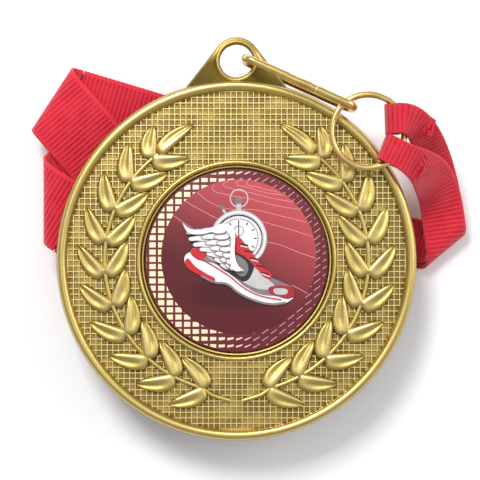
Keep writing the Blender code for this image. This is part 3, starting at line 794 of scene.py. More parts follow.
@dataclass
class Emblem:
    """A winged running shoe before a stopwatch on a track, as thin layers of ink."""

    origin: Vector
    inks: dict[Ink, Material]
    layer: float = 0.012 * MM
    order: int = 0
    pieces: list[Object] = field(default_factory=list)

    def lay(self, name: str, curve: bpy.types.Curve, ink: Ink, squash: float) -> None:
        """Make a curve a flat layer of ink on top of those laid before it."""
        piece = from_curve(name, curve)
        self.order += 1
        height = self.origin.z + self.layer * self.order
        for vert in piece.data.vertices:
            vert.co.x += self.origin.x
            vert.co.y += self.origin.y
            vert.co.z = height + vert.co.z * squash
        dress(piece, self.inks[ink], "print", Body.MEDAL, "printed_centre")
        self.pieces.append(piece)

    def shape(self, name: str, ink: Ink, *outlines: Sequence[Point], corners: Sequence[int] = ()) -> None:
        """Lay a filled shape with smooth outlines.

        Args:
            name: Name of the piece.
            ink: Its ink.
            outlines: Closed outlines in millimetres; one inside another is a hole.
            corners: Numbers of the first outline's points that are sharp.
        """
        curve = bpy.data.curves.new(name, "CURVE")
        curve.dimensions = "2D"
        curve.fill_mode = "BOTH"
        curve.extrude = self.layer
        curve.resolution_u = 8
        for number, outline in enumerate(outlines):
            spline = curve.splines.new("BEZIER")
            spline.use_cyclic_u = True
            spline.bezier_points.add(len(outline) - 1)
            for index, (place, point) in enumerate(zip(spline.bezier_points, outline)):
                sharp = number == 0 and index in corners
                place.co = (point[0] * MM, point[1] * MM, 0.0)
                place.handle_left_type = place.handle_right_type = "VECTOR" if sharp else "AUTO"
        self.lay(name, curve, ink, 1.0)

    def stroke(self, name: str, ink: Ink, width: float, *lines: Sequence[Point]) -> None:
        """Lay smooth lines of one width, in millimetres."""
        curve = bpy.data.curves.new(name, "CURVE")
        curve.dimensions = "3D"
        curve.bevel_depth = width / 2 * MM
        curve.bevel_resolution = 1
        curve.use_fill_caps = True
        curve.resolution_u = 10
        for line in lines:
            spline = curve.splines.new("BEZIER")
            spline.bezier_points.add(len(line) - 1)
            for place, point in zip(spline.bezier_points, line):
                place.co = (point[0] * MM, point[1] * MM, 0.0)
                place.handle_left_type = place.handle_right_type = "AUTO"
        self.lay(name, curve, ink, self.layer / (width / 2 * MM))

    @staticmethod
    def circle(x: float, y: float, radius: float, count: int = 16) -> list[Point]:
        """Points round a circle, in millimetres."""
        angles = [math.tau * step / count for step in range(count)]
        return [(x + radius * math.cos(a), y + radius * math.sin(a)) for a in angles]

    @staticmethod
    def around(x: float, y: float, radius: float, degrees: float) -> Point:
        """Point of a circle at a clock angle, clockwise from the top."""
        angle = math.radians(90.0 - degrees)
        return (x + radius * math.cos(angle), y + radius * math.sin(angle))

    def lanes(self) -> None:
        """The track's lane lines, bending round its far end."""
        lines = [
            [(-8.7, 6.2), (-7.5, 5.35), (-5.0, 3.9), (0.0, 2.9), (5.5, 2.3), (8.4, 1.2), (11.0, 0.3)],
            [(-7.1, 8.2), (-4.6, 6.8), (-2.0, 5.6), (2.0, 5.6), (6.0, 4.7), (10.55, 3.3)],
            [(-5.5, 9.5), (-4.2, 8.4), (-1.5, 7.2), (2.5, 7.0), (6.0, 6.2), (9.7, 5.3)],
            [(-3.1, 10.55), (-3.3, 9.9), (-1.7, 9.2), (1.5, 8.6), (5.0, 7.7), (8.9, 7.0)],
            [(-1.0, 11.0), (-1.8, 10.5), (-0.9, 10.0), (2.2, 9.3), (5.0, 8.6), (7.9, 8.1)],
            [(0.9, 11.1), (0.0, 10.7), (1.3, 10.2), (4.0, 9.4), (6.9, 9.0)],
            [(1.6, 11.0), (1.4, 10.75), (3.2, 10.1), (5.9, 9.4)],
            [(7.6, -3.4), (8.8, -4.0), (9.9, -4.6)],
        ]
        self.stroke("print_lanes", Ink.LANE, 0.09, *lines)

    def stopwatch(self) -> None:
        """Case, dial, marks, crown, bow and side button."""
        x, y = 0.3, 3.05
        bow = self.circle(x + 0.05, y + 5.55, 1.22) + [(x + 1.27, y + 5.55)]
        self.stroke("watch_bow", Ink.SILVER, 0.17, bow)
        self.shape("watch_stem", Ink.SILVER, [(x - 0.33, y + 3.6), (x + 0.33, y + 3.6), (x + 0.33, y + 4.9),
                                              (x - 0.33, y + 4.9)], corners=range(4))
        self.shape("watch_crown", Ink.GREY, [(x - 0.5, y + 4.8), (x + 0.5, y + 4.8), (x + 0.5, y + 5.7),
                                             (x - 0.5, y + 5.7)], corners=range(4))
        self.stroke("watch_button_stem", Ink.SILVER, 0.34, [(x - 1.75, y + 3.3), (x - 2.25, y + 4.15)])
        self.stroke("watch_button", Ink.GREY, 0.62, [(x - 2.1, y + 4.1), (x - 2.6, y + 4.5)])
        self.shape("watch_case", Ink.SILVER, self.circle(x, y, 3.92))
        self.shape("watch_bezel", Ink.WHITE, self.circle(x, y, 3.72), self.circle(x, y, 3.5))
        self.shape("watch_groove", Ink.BLACK, self.circle(x, y, 3.3), self.circle(x + 0.05, y - 0.05, 3.13))
        self.shape("watch_dial", Ink.WHITE, self.circle(x, y, 3.08))
        self.shape("watch_track", Ink.GREY, self.circle(x, y, 2.72), self.circle(x, y, 2.63))
        short = [[self.around(x, y, 2.72, 6.0 * i), self.around(x, y, 2.95, 6.0 * i)] for i in range(60)]
        self.stroke("watch_ticks", Ink.GREY, 0.05, *short)
        long = [[self.around(x, y, 2.1, 30.0 * i), self.around(x, y, 2.5, 30.0 * i)] for i in range(12)]
        self.stroke("watch_marks", Ink.BLACK, 0.15, *long)
        self.shape("watch_subdial", Ink.GREY, self.circle(x, y + 1.05, 0.72), self.circle(x, y + 1.05, 0.64))
        self.stroke("watch_hand", Ink.BLACK, 0.12, [(x, y - 0.6), (x, y + 2.2)])

    def shoe(self) -> None:
        """The running shoe in profile, toe down to the right."""
        self.shape("shoe_sole", Ink.WHITE, [
            (-6.9, 0.9), (-7.15, -0.3), (-5.0, -2.0), (-2.9, -2.95), (-1.5, -3.15), (0.3, -4.5), (2.7, -5.55),
            (4.9, -6.05), (6.9, -5.85), (7.9, -5.2), (5.2, -4.6), (1.9, -4.0), (-0.5, -2.2), (-3.0, -0.4),
            (-5.6, 1.0)], corners=(9,))
        self.shape("shoe_heel_block", Ink.RED, [
            (-7.15, -0.15), (-6.7, 0.35), (-5.6, -0.9), (-4.3, -1.75), (-3.0, -2.85),
            (-5.0, -2.1)], corners=(1,))
        self.shape("shoe_upper", Ink.GREY, [
            (-6.35, 1.15), (-5.35, 1.95), (-3.9, 1.75), (-2.2, 1.5), (-0.4, 2.6), (0.2, 3.5), (0.9, 2.7),
            (2.0, 1.3), (3.3, -0.5), (4.8, -2.3), (6.1, -2.9), (7.6, -3.7), (8.05, -4.45), (7.6, -5.2),
            (5.4, -4.95), (2.9, -4.55), (0.9, -3.3), (-0.9, -1.7), (-3.2, -0.4), (-5.2, 0.1)], corners=(5,))
        self.shape("shoe_side", Ink.SILVER, [
            (-4.3, 1.4), (-2.6, 0.9), (-0.6, 0.2), (1.7, -0.5), (3.4, -1.7), (4.6, -2.8), (5.2, -3.7),
            (3.6, -4.0), (1.3, -3.2), (-0.7, -1.6), (-2.9, -0.3)])
        self.shape("shoe_counter", Ink.RED, [
            (-6.3, 1.05), (-5.4, 1.85), (-4.3, 1.7), (-4.2, 0.6), (-5.0, 0.05), (-5.8, 0.4)])
        self.shape("shoe_quarter", Ink.BLACK, [
            (-3.3, 0.9), (-0.6, 1.5), (1.0, 0.9), (2.3, -0.2), (2.1, -1.9), (1.1, -2.9), (-0.5, -2.0),
            (-2.3, -0.9)])
        self.shape("shoe_saddle", Ink.GREY, [
            (-2.2, 0.5), (-0.6, 0.9), (0.8, 0.3), (1.6, -0.7), (1.4, -1.8), (0.8, -2.2), (-0.4, -1.4),
            (-1.6, -0.5)])
        self.stroke("shoe_outsole", Ink.GREY, 0.3, [
            (-4.9, -2.15), (-2.9, -3.05), (-1.4, -3.25), (0.4, -4.55), (2.7, -5.6), (4.9, -6.05),
            (6.8, -5.85)])
        self.shape("shoe_tongue", Ink.RED, [
            (-0.6, 1.9), (0.2, 3.5), (1.3, 2.1), (2.4, 0.7), (3.5, -0.8), (4.9, -2.4), (4.2, -2.5),
            (2.7, -1.0),
            (1.3, 0.4)], corners=(1,))
        self.shape("shoe_toe", Ink.DEEP_RED, [
            (4.4, -4.0), (5.3, -3.5), (6.4, -3.5), (7.6, -3.75), (8.05, -4.45), (7.5, -5.15), (6.0, -4.95)])
        self.shape("shoe_toe_mesh", Ink.SILVER, [(5.1, -4.15), (6.1, -3.85), (7.1, -4.3), (6.3, -4.75)])
        self.stroke("shoe_foxing", Ink.RED, 0.16, [
            (-5.9, 0.75), (-3.2, -0.75), (-0.9, -2.25), (1.0, -3.75), (3.2, -4.85), (6.2, -5.45)])
        self.stroke("shoe_laces", Ink.BLACK, 0.2, [(0.4, 2.3), (1.6, 2.1)], [(1.1, 1.35), (2.3, 1.2)],
                    [(1.9, 0.35), (3.0, 0.15)], [(2.7, -0.65), (3.8, -0.9)], [(3.5, -1.6), (4.5, -1.9)])
        self.stroke("shoe_lace_tips", Ink.WHITE, 0.12, [(0.5, 2.05), (1.5, 1.8)], [(2.0, 0.1), (3.0, -0.15)],
                    [(3.5, -1.85), (4.6, -2.25)])

    def feather(self, name: str, root: Point, heading: float, length: float, width: float,
                bend: float) -> None:
        """Lay one white feather over its grey outline.

        Args:
            name: Name stem of its two pieces.
            root: Foot of the feather, in millimetres.
            heading: Heading of the feather in degrees.
            length: Length in millimetres.
            width: Width in millimetres.
            bend: How far its middle bulges to the left, in millimetres.
        """
        along, left = heading_vector(heading), heading_vector(heading + 90.0)
        shares = ((0.0, -0.25), (0.5, -0.5), (0.86, -0.36), (1.0, 0.1), (0.8, 0.42), (0.45, 0.5), (0.0, 0.25))
        for ink, grown in ((Ink.GREY, 0.0), (Ink.WHITE, -0.24)):
            outline = []
            for share, side in shares:
                curve = bend * math.sin(math.pi * share)
                reach = length * share + grown * (share - 0.5)
                spot = along * reach + left * (curve + side * (width + grown))
                outline.append((root[0] + spot.x, root[1] + spot.y))
            self.shape(f"{name}_{ink.value}", ink, outline)

    def wing(self) -> None:
        """The wing on the shoe's heel, in three rows of feathers under a leading edge."""
        tips = [(-2.3, -0.45), (-3.2, 0.25), (-4.2, 1.0), (-5.2, 1.6), (-6.1, 2.25), (-6.7, 3.05),
                (-7.0, 3.95)]
        roots = [(-0.2, -1.0), (-0.45, -0.15), (-0.6, 0.75), (-0.7, 1.65), (-0.8, 2.55), (-1.0, 3.4),
                 (-1.4, 4.2)]
        for row, (reach, width, shift) in enumerate(((1.0, 0.92, 0.0), (0.68, 0.86, 0.3), (0.38, 0.8, 0.0))):
            for index, (tip, root) in enumerate(zip(tips, roots)):
                foot = Vector((root[0], root[1] + shift, 0.0))
                run = (Vector((*tip, 0.0)) - foot) * reach
                heading = math.degrees(math.atan2(run.y, run.x))
                self.feather(f"feather_{row}_{index}", (foot.x, foot.y), heading, run.length, width, 0.12)
        self.shape("wing_edge", Ink.WHITE, [
            (-7.5, 5.25), (-6.4, 4.4), (-5.2, 4.25), (-3.4, 4.6), (-1.6, 5.1), (-0.5, 4.5), (-0.2, 3.2),
            (-0.25, 1.2), (0.2, -0.6), (1.05, -1.4), (-0.35, -1.35), (-0.85, -0.4), (-0.85, 1.6), (-0.9, 3.4),
            (-1.9, 4.35), (-3.6, 3.9), (-5.3, 3.6), (-6.7, 3.9)], corners=(0, 9))


@dataclass
class PrintedCentre:
    """The printed disc with its emblem, and the foam tape under it."""

    groups: Groups
    node: str = "printed_centre"

    def inks(self) -> dict[Ink, Material]:
        """The emblem's inks."""
        colours: dict[Ink, tuple[Colour, Colour]] = {
            Ink.WHITE: ((0.86, 0.83, 0.84, 1.0), (0.74, 0.7, 0.72, 1.0)),
            Ink.SILVER: ((0.52, 0.5, 0.51, 1.0), (0.62, 0.6, 0.6, 1.0)),
            Ink.GREY: ((0.2, 0.18, 0.19, 1.0), (0.28, 0.25, 0.26, 1.0)),
            Ink.BLACK: ((0.03, 0.025, 0.03, 1.0), (0.06, 0.05, 0.055, 1.0)),
            Ink.RED: ((0.6, 0.03, 0.04, 1.0), (0.5, 0.04, 0.05, 1.0)),
            Ink.DEEP_RED: ((0.4, 0.025, 0.035, 1.0), (0.33, 0.03, 0.04, 1.0)),
            Ink.LANE: ((0.72, 0.3, 0.32, 1.0), (0.66, 0.22, 0.25, 1.0)),
        }
        return {ink: PrintInk(self.groups, *pair).material(f"ink_{ink.value}")
                for ink, pair in colours.items()}

    def build(self) -> None:
        """Build the disc and its emblem, and give the tape its finish."""
        low, high = (Vector(corner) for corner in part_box(self.node))
        centre = Vector(((low.x + high.x) / 2, (low.y + high.y) / 2, low.z))
        radius, thick = (high.x - low.x) / 2, high.z - low.z
        profile = [(0.0, 0.0), (radius - 0.05 * MM, 0.0), (radius, 0.05 * MM), (radius, thick - 0.12 * MM),
                   (radius - 0.04 * MM, thick - 0.03 * MM), (radius - 0.14 * MM, thick), (0.0, thick)]
        disc = from_bmesh("printed_disc", turned(profile, centre, 160), 60.0)
        ground = TrackPrint(self.groups, centre).material("track_print")
        dress(disc, ground, "print", Body.MEDAL, self.node)
        emblem = Emblem(Vector((centre.x, centre.y, high.z)), self.inks())
        emblem.lanes()
        emblem.stopwatch()
        emblem.shoe()
        emblem.wing()
        tape = PlainMatt(self.groups, (0.8, 0.8, 0.76, 1.0), (0.68, 0.68, 0.63, 1.0), 9000.0)
        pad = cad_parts["adhesive_pad"]
        pad.data.materials.clear()
        pad.data.materials.append(tape.material("foam_tape"))
        LOG.info("adhesive_pad: the CAD node with foam tape")


# ---------------------------------------------------------------- ring and link

@dataclass
class RibbonRing:
    """The small split ring that the ribbon's ends are sewn round."""

    groups: Groups
    node: str = "ribbon_ring"
    split: float = 4.0

    def build(self) -> None:
        """Build the ring, with its split inside the ribbon."""
        low, high = (Vector(corner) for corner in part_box(self.node))
        centre = (low + high) / 2
        gauge = (high.z - low.z) / 2
        radius = (high.y - low.y) / 2 - gauge
        count = 120
        angles = [self.split / 2 + (360.0 - self.split) * step / count for step in range(count + 1)]
        ring = wire("split_ring", [centre + heading_vector(a) * radius for a in angles], gauge, 6)
        dress(ring, WireGold(self.groups).material("ring_gold"), "ring_wire", Body.RING, self.node)


@dataclass
class LugLink:
    """The wire link that joins the lug to the ring."""

    groups: Groups
    node: str = "lug_link"
    lug_end: Point = (1.23 * MM, 27.8 * MM)
    ring_end: Point = (16.15 * MM, 21.1 * MM)
    gauge: float = 0.55 * MM
    corner: float = 1.3 * MM
    split: float = 10.6 * MM
    split_gap: float = 0.12 * MM

    def route(self, half: float, run: float) -> list[Point]:
        """Rounded rectangle of the wire in its own upright plane, from split to split."""
        points = [(self.split + self.split_gap / 2, half)]
        corners = ((run, half, 0.0), (run, -half, -90.0), (0.0, -half, -180.0), (0.0, half, -270.0))
        for along, height, turn in corners:
            middle = along - math.copysign(self.corner, along - run / 2)
            level = height - math.copysign(self.corner, height)
            for step in range(13):
                angle = math.radians(turn + 90.0 - 7.5 * step)
                points.append((middle + self.corner * math.cos(angle), level + self.corner * math.sin(angle)))
        points.append((self.split - self.split_gap / 2, half))
        return points

    def build(self) -> None:
        """Build the link standing on edge, as its CAD node does."""
        low, high = (Vector(corner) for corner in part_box(self.node))
        start = Vector((*self.lug_end, (low.z + high.z) / 2))
        end = Vector((*self.ring_end, start.z))
        along = (end - start).normalized()
        half = (high.z - low.z) / 2 - self.gauge
        route = [start + along * x + Vector((0, 0, z)) for x, z in self.route(half, (end - start).length)]
        link = wire("wire_link", route, self.gauge, 6)
        dress(link, WireGold(self.groups).material("link_gold"), "link_wire", Body.LINK, self.node)


# ---------------------------------------------------------------- ribbon route

Station = tuple[Vector, float]


class Stretch(Protocol):
    """A stretch of the ribbon's route."""

    length: float

    def at(self, distance: float, side: float) -> Vector:
        """Point at a distance along it, side metres left of the ribbon's middle line."""


class Glide:
    """A run whose plan is a cubic curve between two stations."""

    def __init__(self, start: Station, end: Station, pull: Point | None = None,
                 narrow: Point = (1.0, 1.0), widen: float = 1.0) -> None:
        """Lay the run.

        Args:
            start: Place and heading where it starts.
            end: Place and heading where it ends.
            pull: Lengths of the curve's two handles, or None for a third of the way each.
            narrow: Shares of the full width at the start and at the end.
            widen: Share of the run over which the width changes.
        """
        self.end, self.narrow, self.widen = end, narrow, widen
        first, last = Vector(start[0]), Vector(end[0])
        reach = (last - first).to_2d().length / 3
        pulls = pull or (reach, reach)
        second = first + heading_vector(start[1]) * pulls[0]
        third = last - heading_vector(end[1]) * pulls[1]
        self.spots: list[Vector] = []
        self.ways: list[Vector] = []
        self.marks = [0.0]
        for step in range(121):
            f, g = step / 120, 1.0 - step / 120
            spot = first * g ** 3 + second * 3 * g * g * f + third * 3 * g * f * f + last * f ** 3
            way = (second - first) * g * g + (third - second) * 2 * g * f + (last - third) * f * f
            way.z = 0.0
            spot.z = first.z + (last.z - first.z) * ease(f)
            if self.spots:
                self.marks.append(self.marks[-1] + (spot - self.spots[-1]).length)
            self.spots.append(spot)
            self.ways.append(way.normalized())
        self.length = self.marks[-1]

    def at(self, distance: float, side: float) -> Vector:
        """Point at a distance along the run, side metres left of its middle."""
        index = 0
        while index < len(self.marks) - 2 and self.marks[index + 1] < distance:
            index += 1
        share = (distance - self.marks[index]) / (self.marks[index + 1] - self.marks[index])
        spot = self.spots[index].lerp(self.spots[index + 1], share)
        way = self.ways[index].lerp(self.ways[index + 1], share).normalized()
        width = self.narrow[0] + (self.narrow[1] - self.narrow[0]) * ease(distance / self.length / self.widen)
        return spot + Vector((-way.y, way.x, 0.0)) * side * width

    def out(self) -> Station:
        """Station at the end of the run."""
        return self.end


class Fold:
    """A turn over a straight crease, wound round a cylinder, up or down."""

    def __init__(self, start: Station, crease: float, radius: float, up: int, cloth: float,
                 width: float = 1.0) -> None:
        """Lay the fold.

        Args:
            start: Place and heading of the way in.
            crease: Heading of the crease in degrees.
            radius: Radius of the turn.
            up: 1 where the ribbon turns upwards, -1 downwards.
            cloth: The ribbon's full width.
            width: Share of the full width that it has here.
        """
        self.start, self.radius, self.up, self.width = start, radius, up, width
        self.way, self.side = heading_vector(start[1]), heading_vector(start[1] + 90.0)
        self.along, self.across = heading_vector(crease), heading_vector(crease + 90.0)
        if self.across.dot(self.way) < 0:
            self.across = -self.across
        square = self.across.dot(self.way)
        lead = abs(self.across.dot(self.side)) * width * cloth / 2 / square
        self.band = math.pi * radius
        self.length = 2 * lead + self.band / square
        self.axis = Vector(start[0]) + self.way * lead

    def at(self, distance: float, side: float) -> Vector:
        """Point at a distance along the fold, side metres left of the way in."""
        flat = Vector(self.start[0]) + self.way * distance + self.side * side * self.width
        past = (flat - self.axis).dot(self.across)
        along = (flat - self.axis).dot(self.along)
        rise = 0.0
        if past > self.band:
            past, rise = self.band - past, 2 * self.radius
        elif past > 0:
            turn = past / self.radius
            past, rise = self.radius * math.sin(turn), self.radius * (1 - math.cos(turn))
        return self.axis + self.across * past + self.along * along + Vector((0, 0, self.up * rise))

    def out(self) -> Station:
        """Station at the end of the fold."""
        end, before = self.at(self.length, 0.0), self.at(self.length - 1e-5, 0.0)
        return end, math.degrees(math.atan2(end.y - before.y, end.x - before.x))


class Eye:
    """A sewn end: a short flap below, round the ring, out on top at a station."""

    def __init__(self, end: Station, width: float, lows: Point, close: float, flap: float, cloth: float,
                 sway: float) -> None:
        """Lay the sewn end.

        Args:
            end: Place and heading where the top layer leaves the ring.
            width: Share of the full width.
            lows: Heights of the lower layer at its two edges.
            close: Height of the flap's cut end.
            flap: Length of the flap.
            cloth: The ribbon's full width.
            sway: Degrees by which the flap bends to the right, under the run above it.
        """
        self.end, self.width, self.lows, self.close = end, width, lows, close
        self.flap, self.cloth, self.sway = flap, cloth, sway
        self.radius = (2 * end[0].z - sum(lows)) / 4
        self.length = flap + math.pi * self.radius

    def at(self, distance: float, side: float) -> Vector:
        """Point at a distance from the flap's cut end, side metres left of the way out."""
        low = self.lows[0] + (self.lows[1] - self.lows[0]) * (side / self.cloth + 0.5)
        radius = (self.end[0].z - low) / 2
        spot = Vector(self.end[0]) + heading_vector(self.end[1] + 90.0) * side * self.width
        if distance < self.flap:
            back = self.flap - distance
            turn = self.end[1] - self.sway * back / self.flap
            spot = Vector(self.end[0]) + heading_vector(turn) * back
            spot += heading_vector(turn + 90.0) * side * self.width * (1.0 - 0.45 * back / self.flap)
            spot.z = low + (self.close - low) * ease(back / self.flap)
            return spot
        turn = (distance - self.flap) / self.radius
        spot -= heading_vector(self.end[1]) * radius * math.sin(turn)
        spot.z = low + radius - radius * math.cos(turn)
        return spot


class Back:
    """Another stretch, run from its end to its start."""

    def __init__(self, other: Stretch) -> None:
        """Take the stretch to run backwards."""
        self.other, self.length = other, other.length

    def at(self, distance: float, side: float) -> Vector:
        """Point of the other stretch, counted from its end."""
        return self.other.at(self.length - distance, -side)


@dataclass
class NeckRibbon:
    """The neck ribbon, sewn round the ring at both ends and folded under the medal."""

    groups: Groups
    ring_height: float
    width: float = 10.0 * MM
    length: float = 800.0 * MM
    thickness: float = 0.34 * MM
    rib_pitch: float = 0.62 * MM
    pitch: float = 0.46 * MM
    layers: int = 15
    pile_left: float = -22.2 * MM
    pile_y: float = 1.0 * MM
    first_layer: float = 0.15 * MM
    flap: float = 5.0 * MM
    fan_share: float = 0.6
    crease: float = 39.7
    fan_foot: tuple[float, float, float] = (29.5, 5.3, -82.0)
    eye_rise: float = 2.05 * MM
    selvedge_ripple: float = 0.06 * MM
    node: str = "neck_ribbon"

    @staticmethod
    def station(x: float, y: float, heading: float, height: float) -> Station:
        """A place on the ribbon's middle line, in millimetres and degrees, with its height in metres."""
        return Vector((x * MM, y * MM, height)), heading

    def lower_end(self) -> list[Stretch]:
        """Ribbon from its lower sewn end down to the table."""
        top, ring = self.ring_height + self.eye_rise, self.ring_height
        eye = self.station(21.5, 14.95, -28.0, top)
        turn = self.station(*self.fan_foot, 3.5 * MM)
        fan = Glide(eye, turn, (5.5 * MM, 7.0 * MM), (0.37, self.fan_share), 0.55)
        fold = Fold(fan.out(), self.crease, 1.65 * MM, -1, self.width, self.fan_share)
        lows = (ring - 0.78 * MM, ring - 1.65 * MM)
        return [Eye(eye, 0.37, lows, top - 1.7 * MM, self.flap, self.width, 12.0), fan, fold]

    def upper_end(self) -> list[Stretch]:
        """Ribbon from its upper sewn end down to the table, under the lower end's run."""
        top, ring = self.ring_height + self.eye_rise, self.ring_height
        eye = self.station(22.3, 19.45, 2.0, top)
        turn = self.station(*self.fan_foot, 2.85 * MM)
        fan = Glide(eye, turn, (4.0 * MM, 8.0 * MM), (0.41, self.fan_share), 0.95)
        fold = Fold(fan.out(), self.crease, 1.1 * MM, -1, self.width, self.fan_share)
        lows = (ring - 1.55 * MM, ring - 1.55 * MM)
        return [Eye(eye, 0.41, lows, top - 2.0 * MM, self.flap, self.width, 17.0), fan, fold]

    def loops(self, start: Station) -> list[Stretch]:
        """Both loops at the medal's left, from the pile's lowest layer to its top one."""
        top = self.first_layer + self.pitch * self.layers
        made: list[Stretch] = [Glide(start, self.station(-19.6, 14.9, 130.5, 4.6 * MM), (7 * MM, 7 * MM))]
        made.append(Glide(made[-1].out(), self.station(-24.3, 20.4, 130.5, 5.2 * MM)))
        made.append(Fold(made[-1].out(), 237.0, 1.4 * MM, -1, self.width))
        place, way = made[-1].out()
        under = place + heading_vector(way) * 16 * MM - Vector((0, 0, 0.8 * MM))
        made.append(Glide((place, way), (under, way)))
        made.append(Fold(made[-1].out(), way + 90.0, 0.3 * MM, -1, self.width))
        made.append(Glide(made[-1].out(), self.station(-18.4, 14.9, 212.0, 1.6 * MM), (5 * MM, 3 * MM)))
        made.append(Glide(made[-1].out(), self.station(-22.9, 11.7, 212.0, top - 3.0 * MM)))
        made.append(Fold(made[-1].out(), 90.0, 1.5 * MM, 1, self.width))
        made.append(Glide(made[-1].out(), (Vector((-9 * MM, self.pile_y, top)), 0.0), (5 * MM, 5 * MM)))
        return made

    def pile(self, start: Station, right: float) -> list[Stretch]:
        """The zigzag pile under the medal, from its top layer down to its lowest but one."""
        made: list[Stretch] = []
        here = start
        for layer in range(self.layers, 0, -1):
            rightward = layer % 2 == 1
            end = Vector((right if rightward else self.pile_left, self.pile_y, here[0].z))
            made.append(Glide(here, (end, 0.0 if rightward else 180.0)))
            here = made[-1].out()
            if layer > 1:
                made.append(Fold(here, 90.0, self.pitch / 2, -1, self.width))
                here = (made[-1].out()[0], 180.0 if rightward else 0.0)
        return made

    def route(self, right: float) -> list[tuple[Stretch, bool]]:
        """Every stretch, lower end first, with whether it shows, for a pile that reaches right."""
        lower, upper = self.lower_end(), self.upper_end()
        entry = (Vector((right, self.pile_y, self.first_layer)), 180.0)
        made = [(stretch, True) for stretch in lower]
        made.append((Glide(lower[-1].out(), entry, None, (self.fan_share, 1.0)), True))
        made.append((Glide(entry, (Vector((-5 * MM, self.pile_y, self.first_layer)), 180.0)), False))
        made += [(stretch, True) for stretch in self.loops(made[-1][0].out())]
        made += [(stretch, False) for stretch in self.pile(made[-1][0].out(), right)]
        meet, way = upper[-1].out()
        made.append((Glide(made[-1][0].out(), (meet, way - 180.0), None, (1.0, self.fan_share)), True))
        return made + [(Back(stretch), True) for stretch in reversed(upper)]

    def fitted(self) -> list[tuple[Stretch, bool]]:
        """The stretches whose lengths add up to the ribbon's length."""
        low, high = 8.0 * MM, 24.0 * MM
        made: list[tuple[Stretch, bool]] = []
        for _ in range(30):
            right = (low + high) / 2
            made = self.route(right)
            if sum(stretch.length for stretch, _ in made) < self.length:
                low = right
            else:
                high = right
        return made

    def rows(self, stretches: Sequence[tuple[Stretch, bool]]) -> list[tuple[Stretch, float, float, bool]]:
        """Stretch, distance in it, distance from the ribbon's end and fineness of every mesh row."""
        made: list[tuple[Stretch, float, float, bool]] = []
        gone = 0.0
        for stretch, shows in stretches:
            step = self.rib_pitch / 4 if shows else self.rib_pitch
            count = max(2, round(stretch.length / step))
            made += [(stretch, stretch.length * i / count, gone + stretch.length * i / count, shows)
                     for i in range(count)]
            gone += stretch.length
        last, shows = stretches[-1]
        made.append((last, last.length, gone, shows))
        return made

    def mesh(self) -> Object:
        """The whole strip, ribbed where it shows, with a UV map in ribbon widths."""
        rows = self.rows(self.fitted())
        sides = 14
        shares = [math.copysign(abs(2 * i / sides - 1) ** 0.72, 2 * i / sides - 1) for i in range(sides + 1)]
        body = bmesh.new()
        bmesh.ops.create_grid(body, x_segments=len(rows) - 1, y_segments=sides, size=1.0)
        rib = body.verts.layers.deform.verify()
        uv = body.loops.layers.uv.new("cloth")
        places: dict[bmesh.types.BMVert, Point] = {}
        for vert in body.verts:
            stretch, distance, gone, shows = rows[round((vert.co.x + 1.0) / 2.0 * (len(rows) - 1))]
            share = shares[round((vert.co.y + 1.0) / 2.0 * sides)]
            wave = 0.5 + 0.5 * math.sin(math.tau * gone / self.rib_pitch)
            selvedge = abs(share) > 0.9
            ripple = self.selvedge_ripple * (wave - 0.5) if abs(share) > 0.99 and shows else 0.0
            edge = share * (self.width / 2 + ripple)
            vert.co = stretch.at(distance, edge)
            vert[rib][0] = 0.96 if selvedge or not shows else 0.82 + 0.18 * wave
            places[vert] = (share / 2 + 0.5, gone / self.width)
        for face in body.faces:
            for loop in face.loops:
                loop[uv].uv = places[loop.vert]
        mesh = bpy.data.meshes.new("ribbon_strip")
        body.to_mesh(mesh)
        body.free()
        strip = new_object("ribbon_strip", mesh, 180.0)
        strip.vertex_groups.new(name="rib")
        shell = strip.modifiers.new("thickness", "SOLIDIFY")
        shell.thickness = self.thickness
        shell.offset = 0.0
        shell.vertex_group = "rib"
        graph = bpy.context.evaluated_depsgraph_get()
        thick = bpy.data.meshes.new_from_object(strip.evaluated_get(graph))
        strip.modifiers.clear()
        strip.data = thick
        return strip

    def build(self) -> None:
        """Build the ribbon and give its sewing its thread."""
        cloth = RibbedCloth(self.groups, self.rib_pitch, self.width).material("ribbed_cloth")
        strip = dress(self.mesh(), cloth, "red_ribbon", Body.RIBBON, self.node)
        thread = PlainMatt(self.groups, (0.55, 0.012, 0.035, 1.0), (0.38, 0.006, 0.022, 1.0), 16000.0)
        finish = thread.material("sewing_thread")
        stitches = [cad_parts[name] for name in ("lower_end_stitch", "upper_end_stitch")]
        for stitch in stitches:
            stitch.data.materials.clear()
            stitch.data.materials.append(finish)
            LOG.info("%s: the CAD node with sewing thread", stitch.name)


# ---------------------------------------------------------------- studio

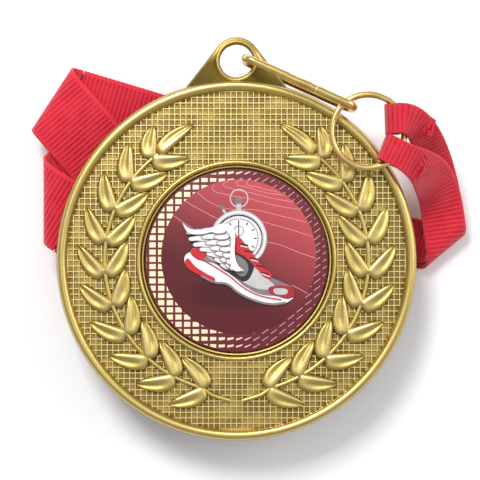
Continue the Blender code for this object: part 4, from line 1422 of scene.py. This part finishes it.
@dataclass
class Studio:
    """Pale floor, soft lights and the camera."""

    view_centre: Vector
    view_width: float = 66.3 * MM
    lens: float = 120.0
    sensor: float = 36.0

    def floor(self, height: float) -> None:
        """A wide pale floor under the object."""
        body = bmesh.new()
        bmesh.ops.create_grid(body, x_segments=1, y_segments=1, size=1.2)
        bmesh.ops.translate(body, verts=body.verts, vec=(0, 0, height))
        floor = from_bmesh("floor", body)
        made, _, shader = start_material("pale_floor")
        shader.inputs["Base Color"].default_value = (0.95, 0.95, 0.955, 1.0)
        shader.inputs["Roughness"].default_value = 0.9
        floor.data.materials.append(made)
        floor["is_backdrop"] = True

    def softbox(self, name: str, place: Vector, size: float, watts: float) -> None:
        """A square area light that faces the medal."""
        light = bpy.data.lights.new(name, "AREA")
        light.size = size
        light.energy = watts
        lamp = bpy.data.objects.new(name, light)
        lamp.location = place
        lamp.rotation_euler = (self.view_centre - place).to_track_quat("-Z", "Y").to_euler()
        bpy.context.scene.collection.objects.link(lamp)

    def camera(self) -> None:
        """A long lens straight above the medal, with +Y up in its view."""
        data = bpy.data.cameras.new("camera")
        data.lens = self.lens
        data.sensor_width = self.sensor
        data.clip_start = 0.01
        eye = bpy.data.objects.new("camera", data)
        eye.location = self.view_centre + Vector((0, 0, self.view_width * self.lens / self.sensor))
        bpy.context.scene.collection.objects.link(eye)
        bpy.context.scene.camera = eye

    def build(self, floor_height: float) -> None:
        """Set up the whole studio."""
        self.floor(floor_height)
        self.softbox("key", self.view_centre + Vector((-0.13, 0.27, 0.4)), 0.16, 1.95)
        self.softbox("fill", self.view_centre + Vector((0.4, 0.12, 0.3)), 0.3, 0.8)
        self.softbox("over", self.view_centre + Vector((0.0, 0.06, 0.6)), 0.5, 0.4)
        world = bpy.data.worlds.new("soft_room")
        world.use_nodes = True
        back = world.node_tree.nodes["Background"]
        back.inputs["Color"].default_value = (1.0, 1.0, 1.0, 1.0)
        back.inputs["Strength"].default_value = 0.42
        bpy.context.scene.world = world
        bpy.context.scene.view_settings.view_transform = "Standard"
        self.camera()


def main() -> None:
    """Build the medal, its centre, ring, link, ribbon and studio."""
    logging.basicConfig(level=logging.INFO, format="%(name)s: %(message)s")
    cad_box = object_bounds()
    groups = Groups(grain_group(), relief_group(), rib_group())
    ring_low, ring_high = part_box("ribbon_ring")
    MedalBody(groups).build()
    PrintedCentre(groups).build()
    RibbonRing(groups).build()
    LugLink(groups).build()
    NeckRibbon(groups, (ring_low[2] + ring_high[2]) / 2).build()
    floor_height = cad_box[0][2]
    Studio(Vector((0.48 * MM, 2.83 * MM, 10.0 * MM))).build(floor_height)


if __name__ == "__main__":
    main()
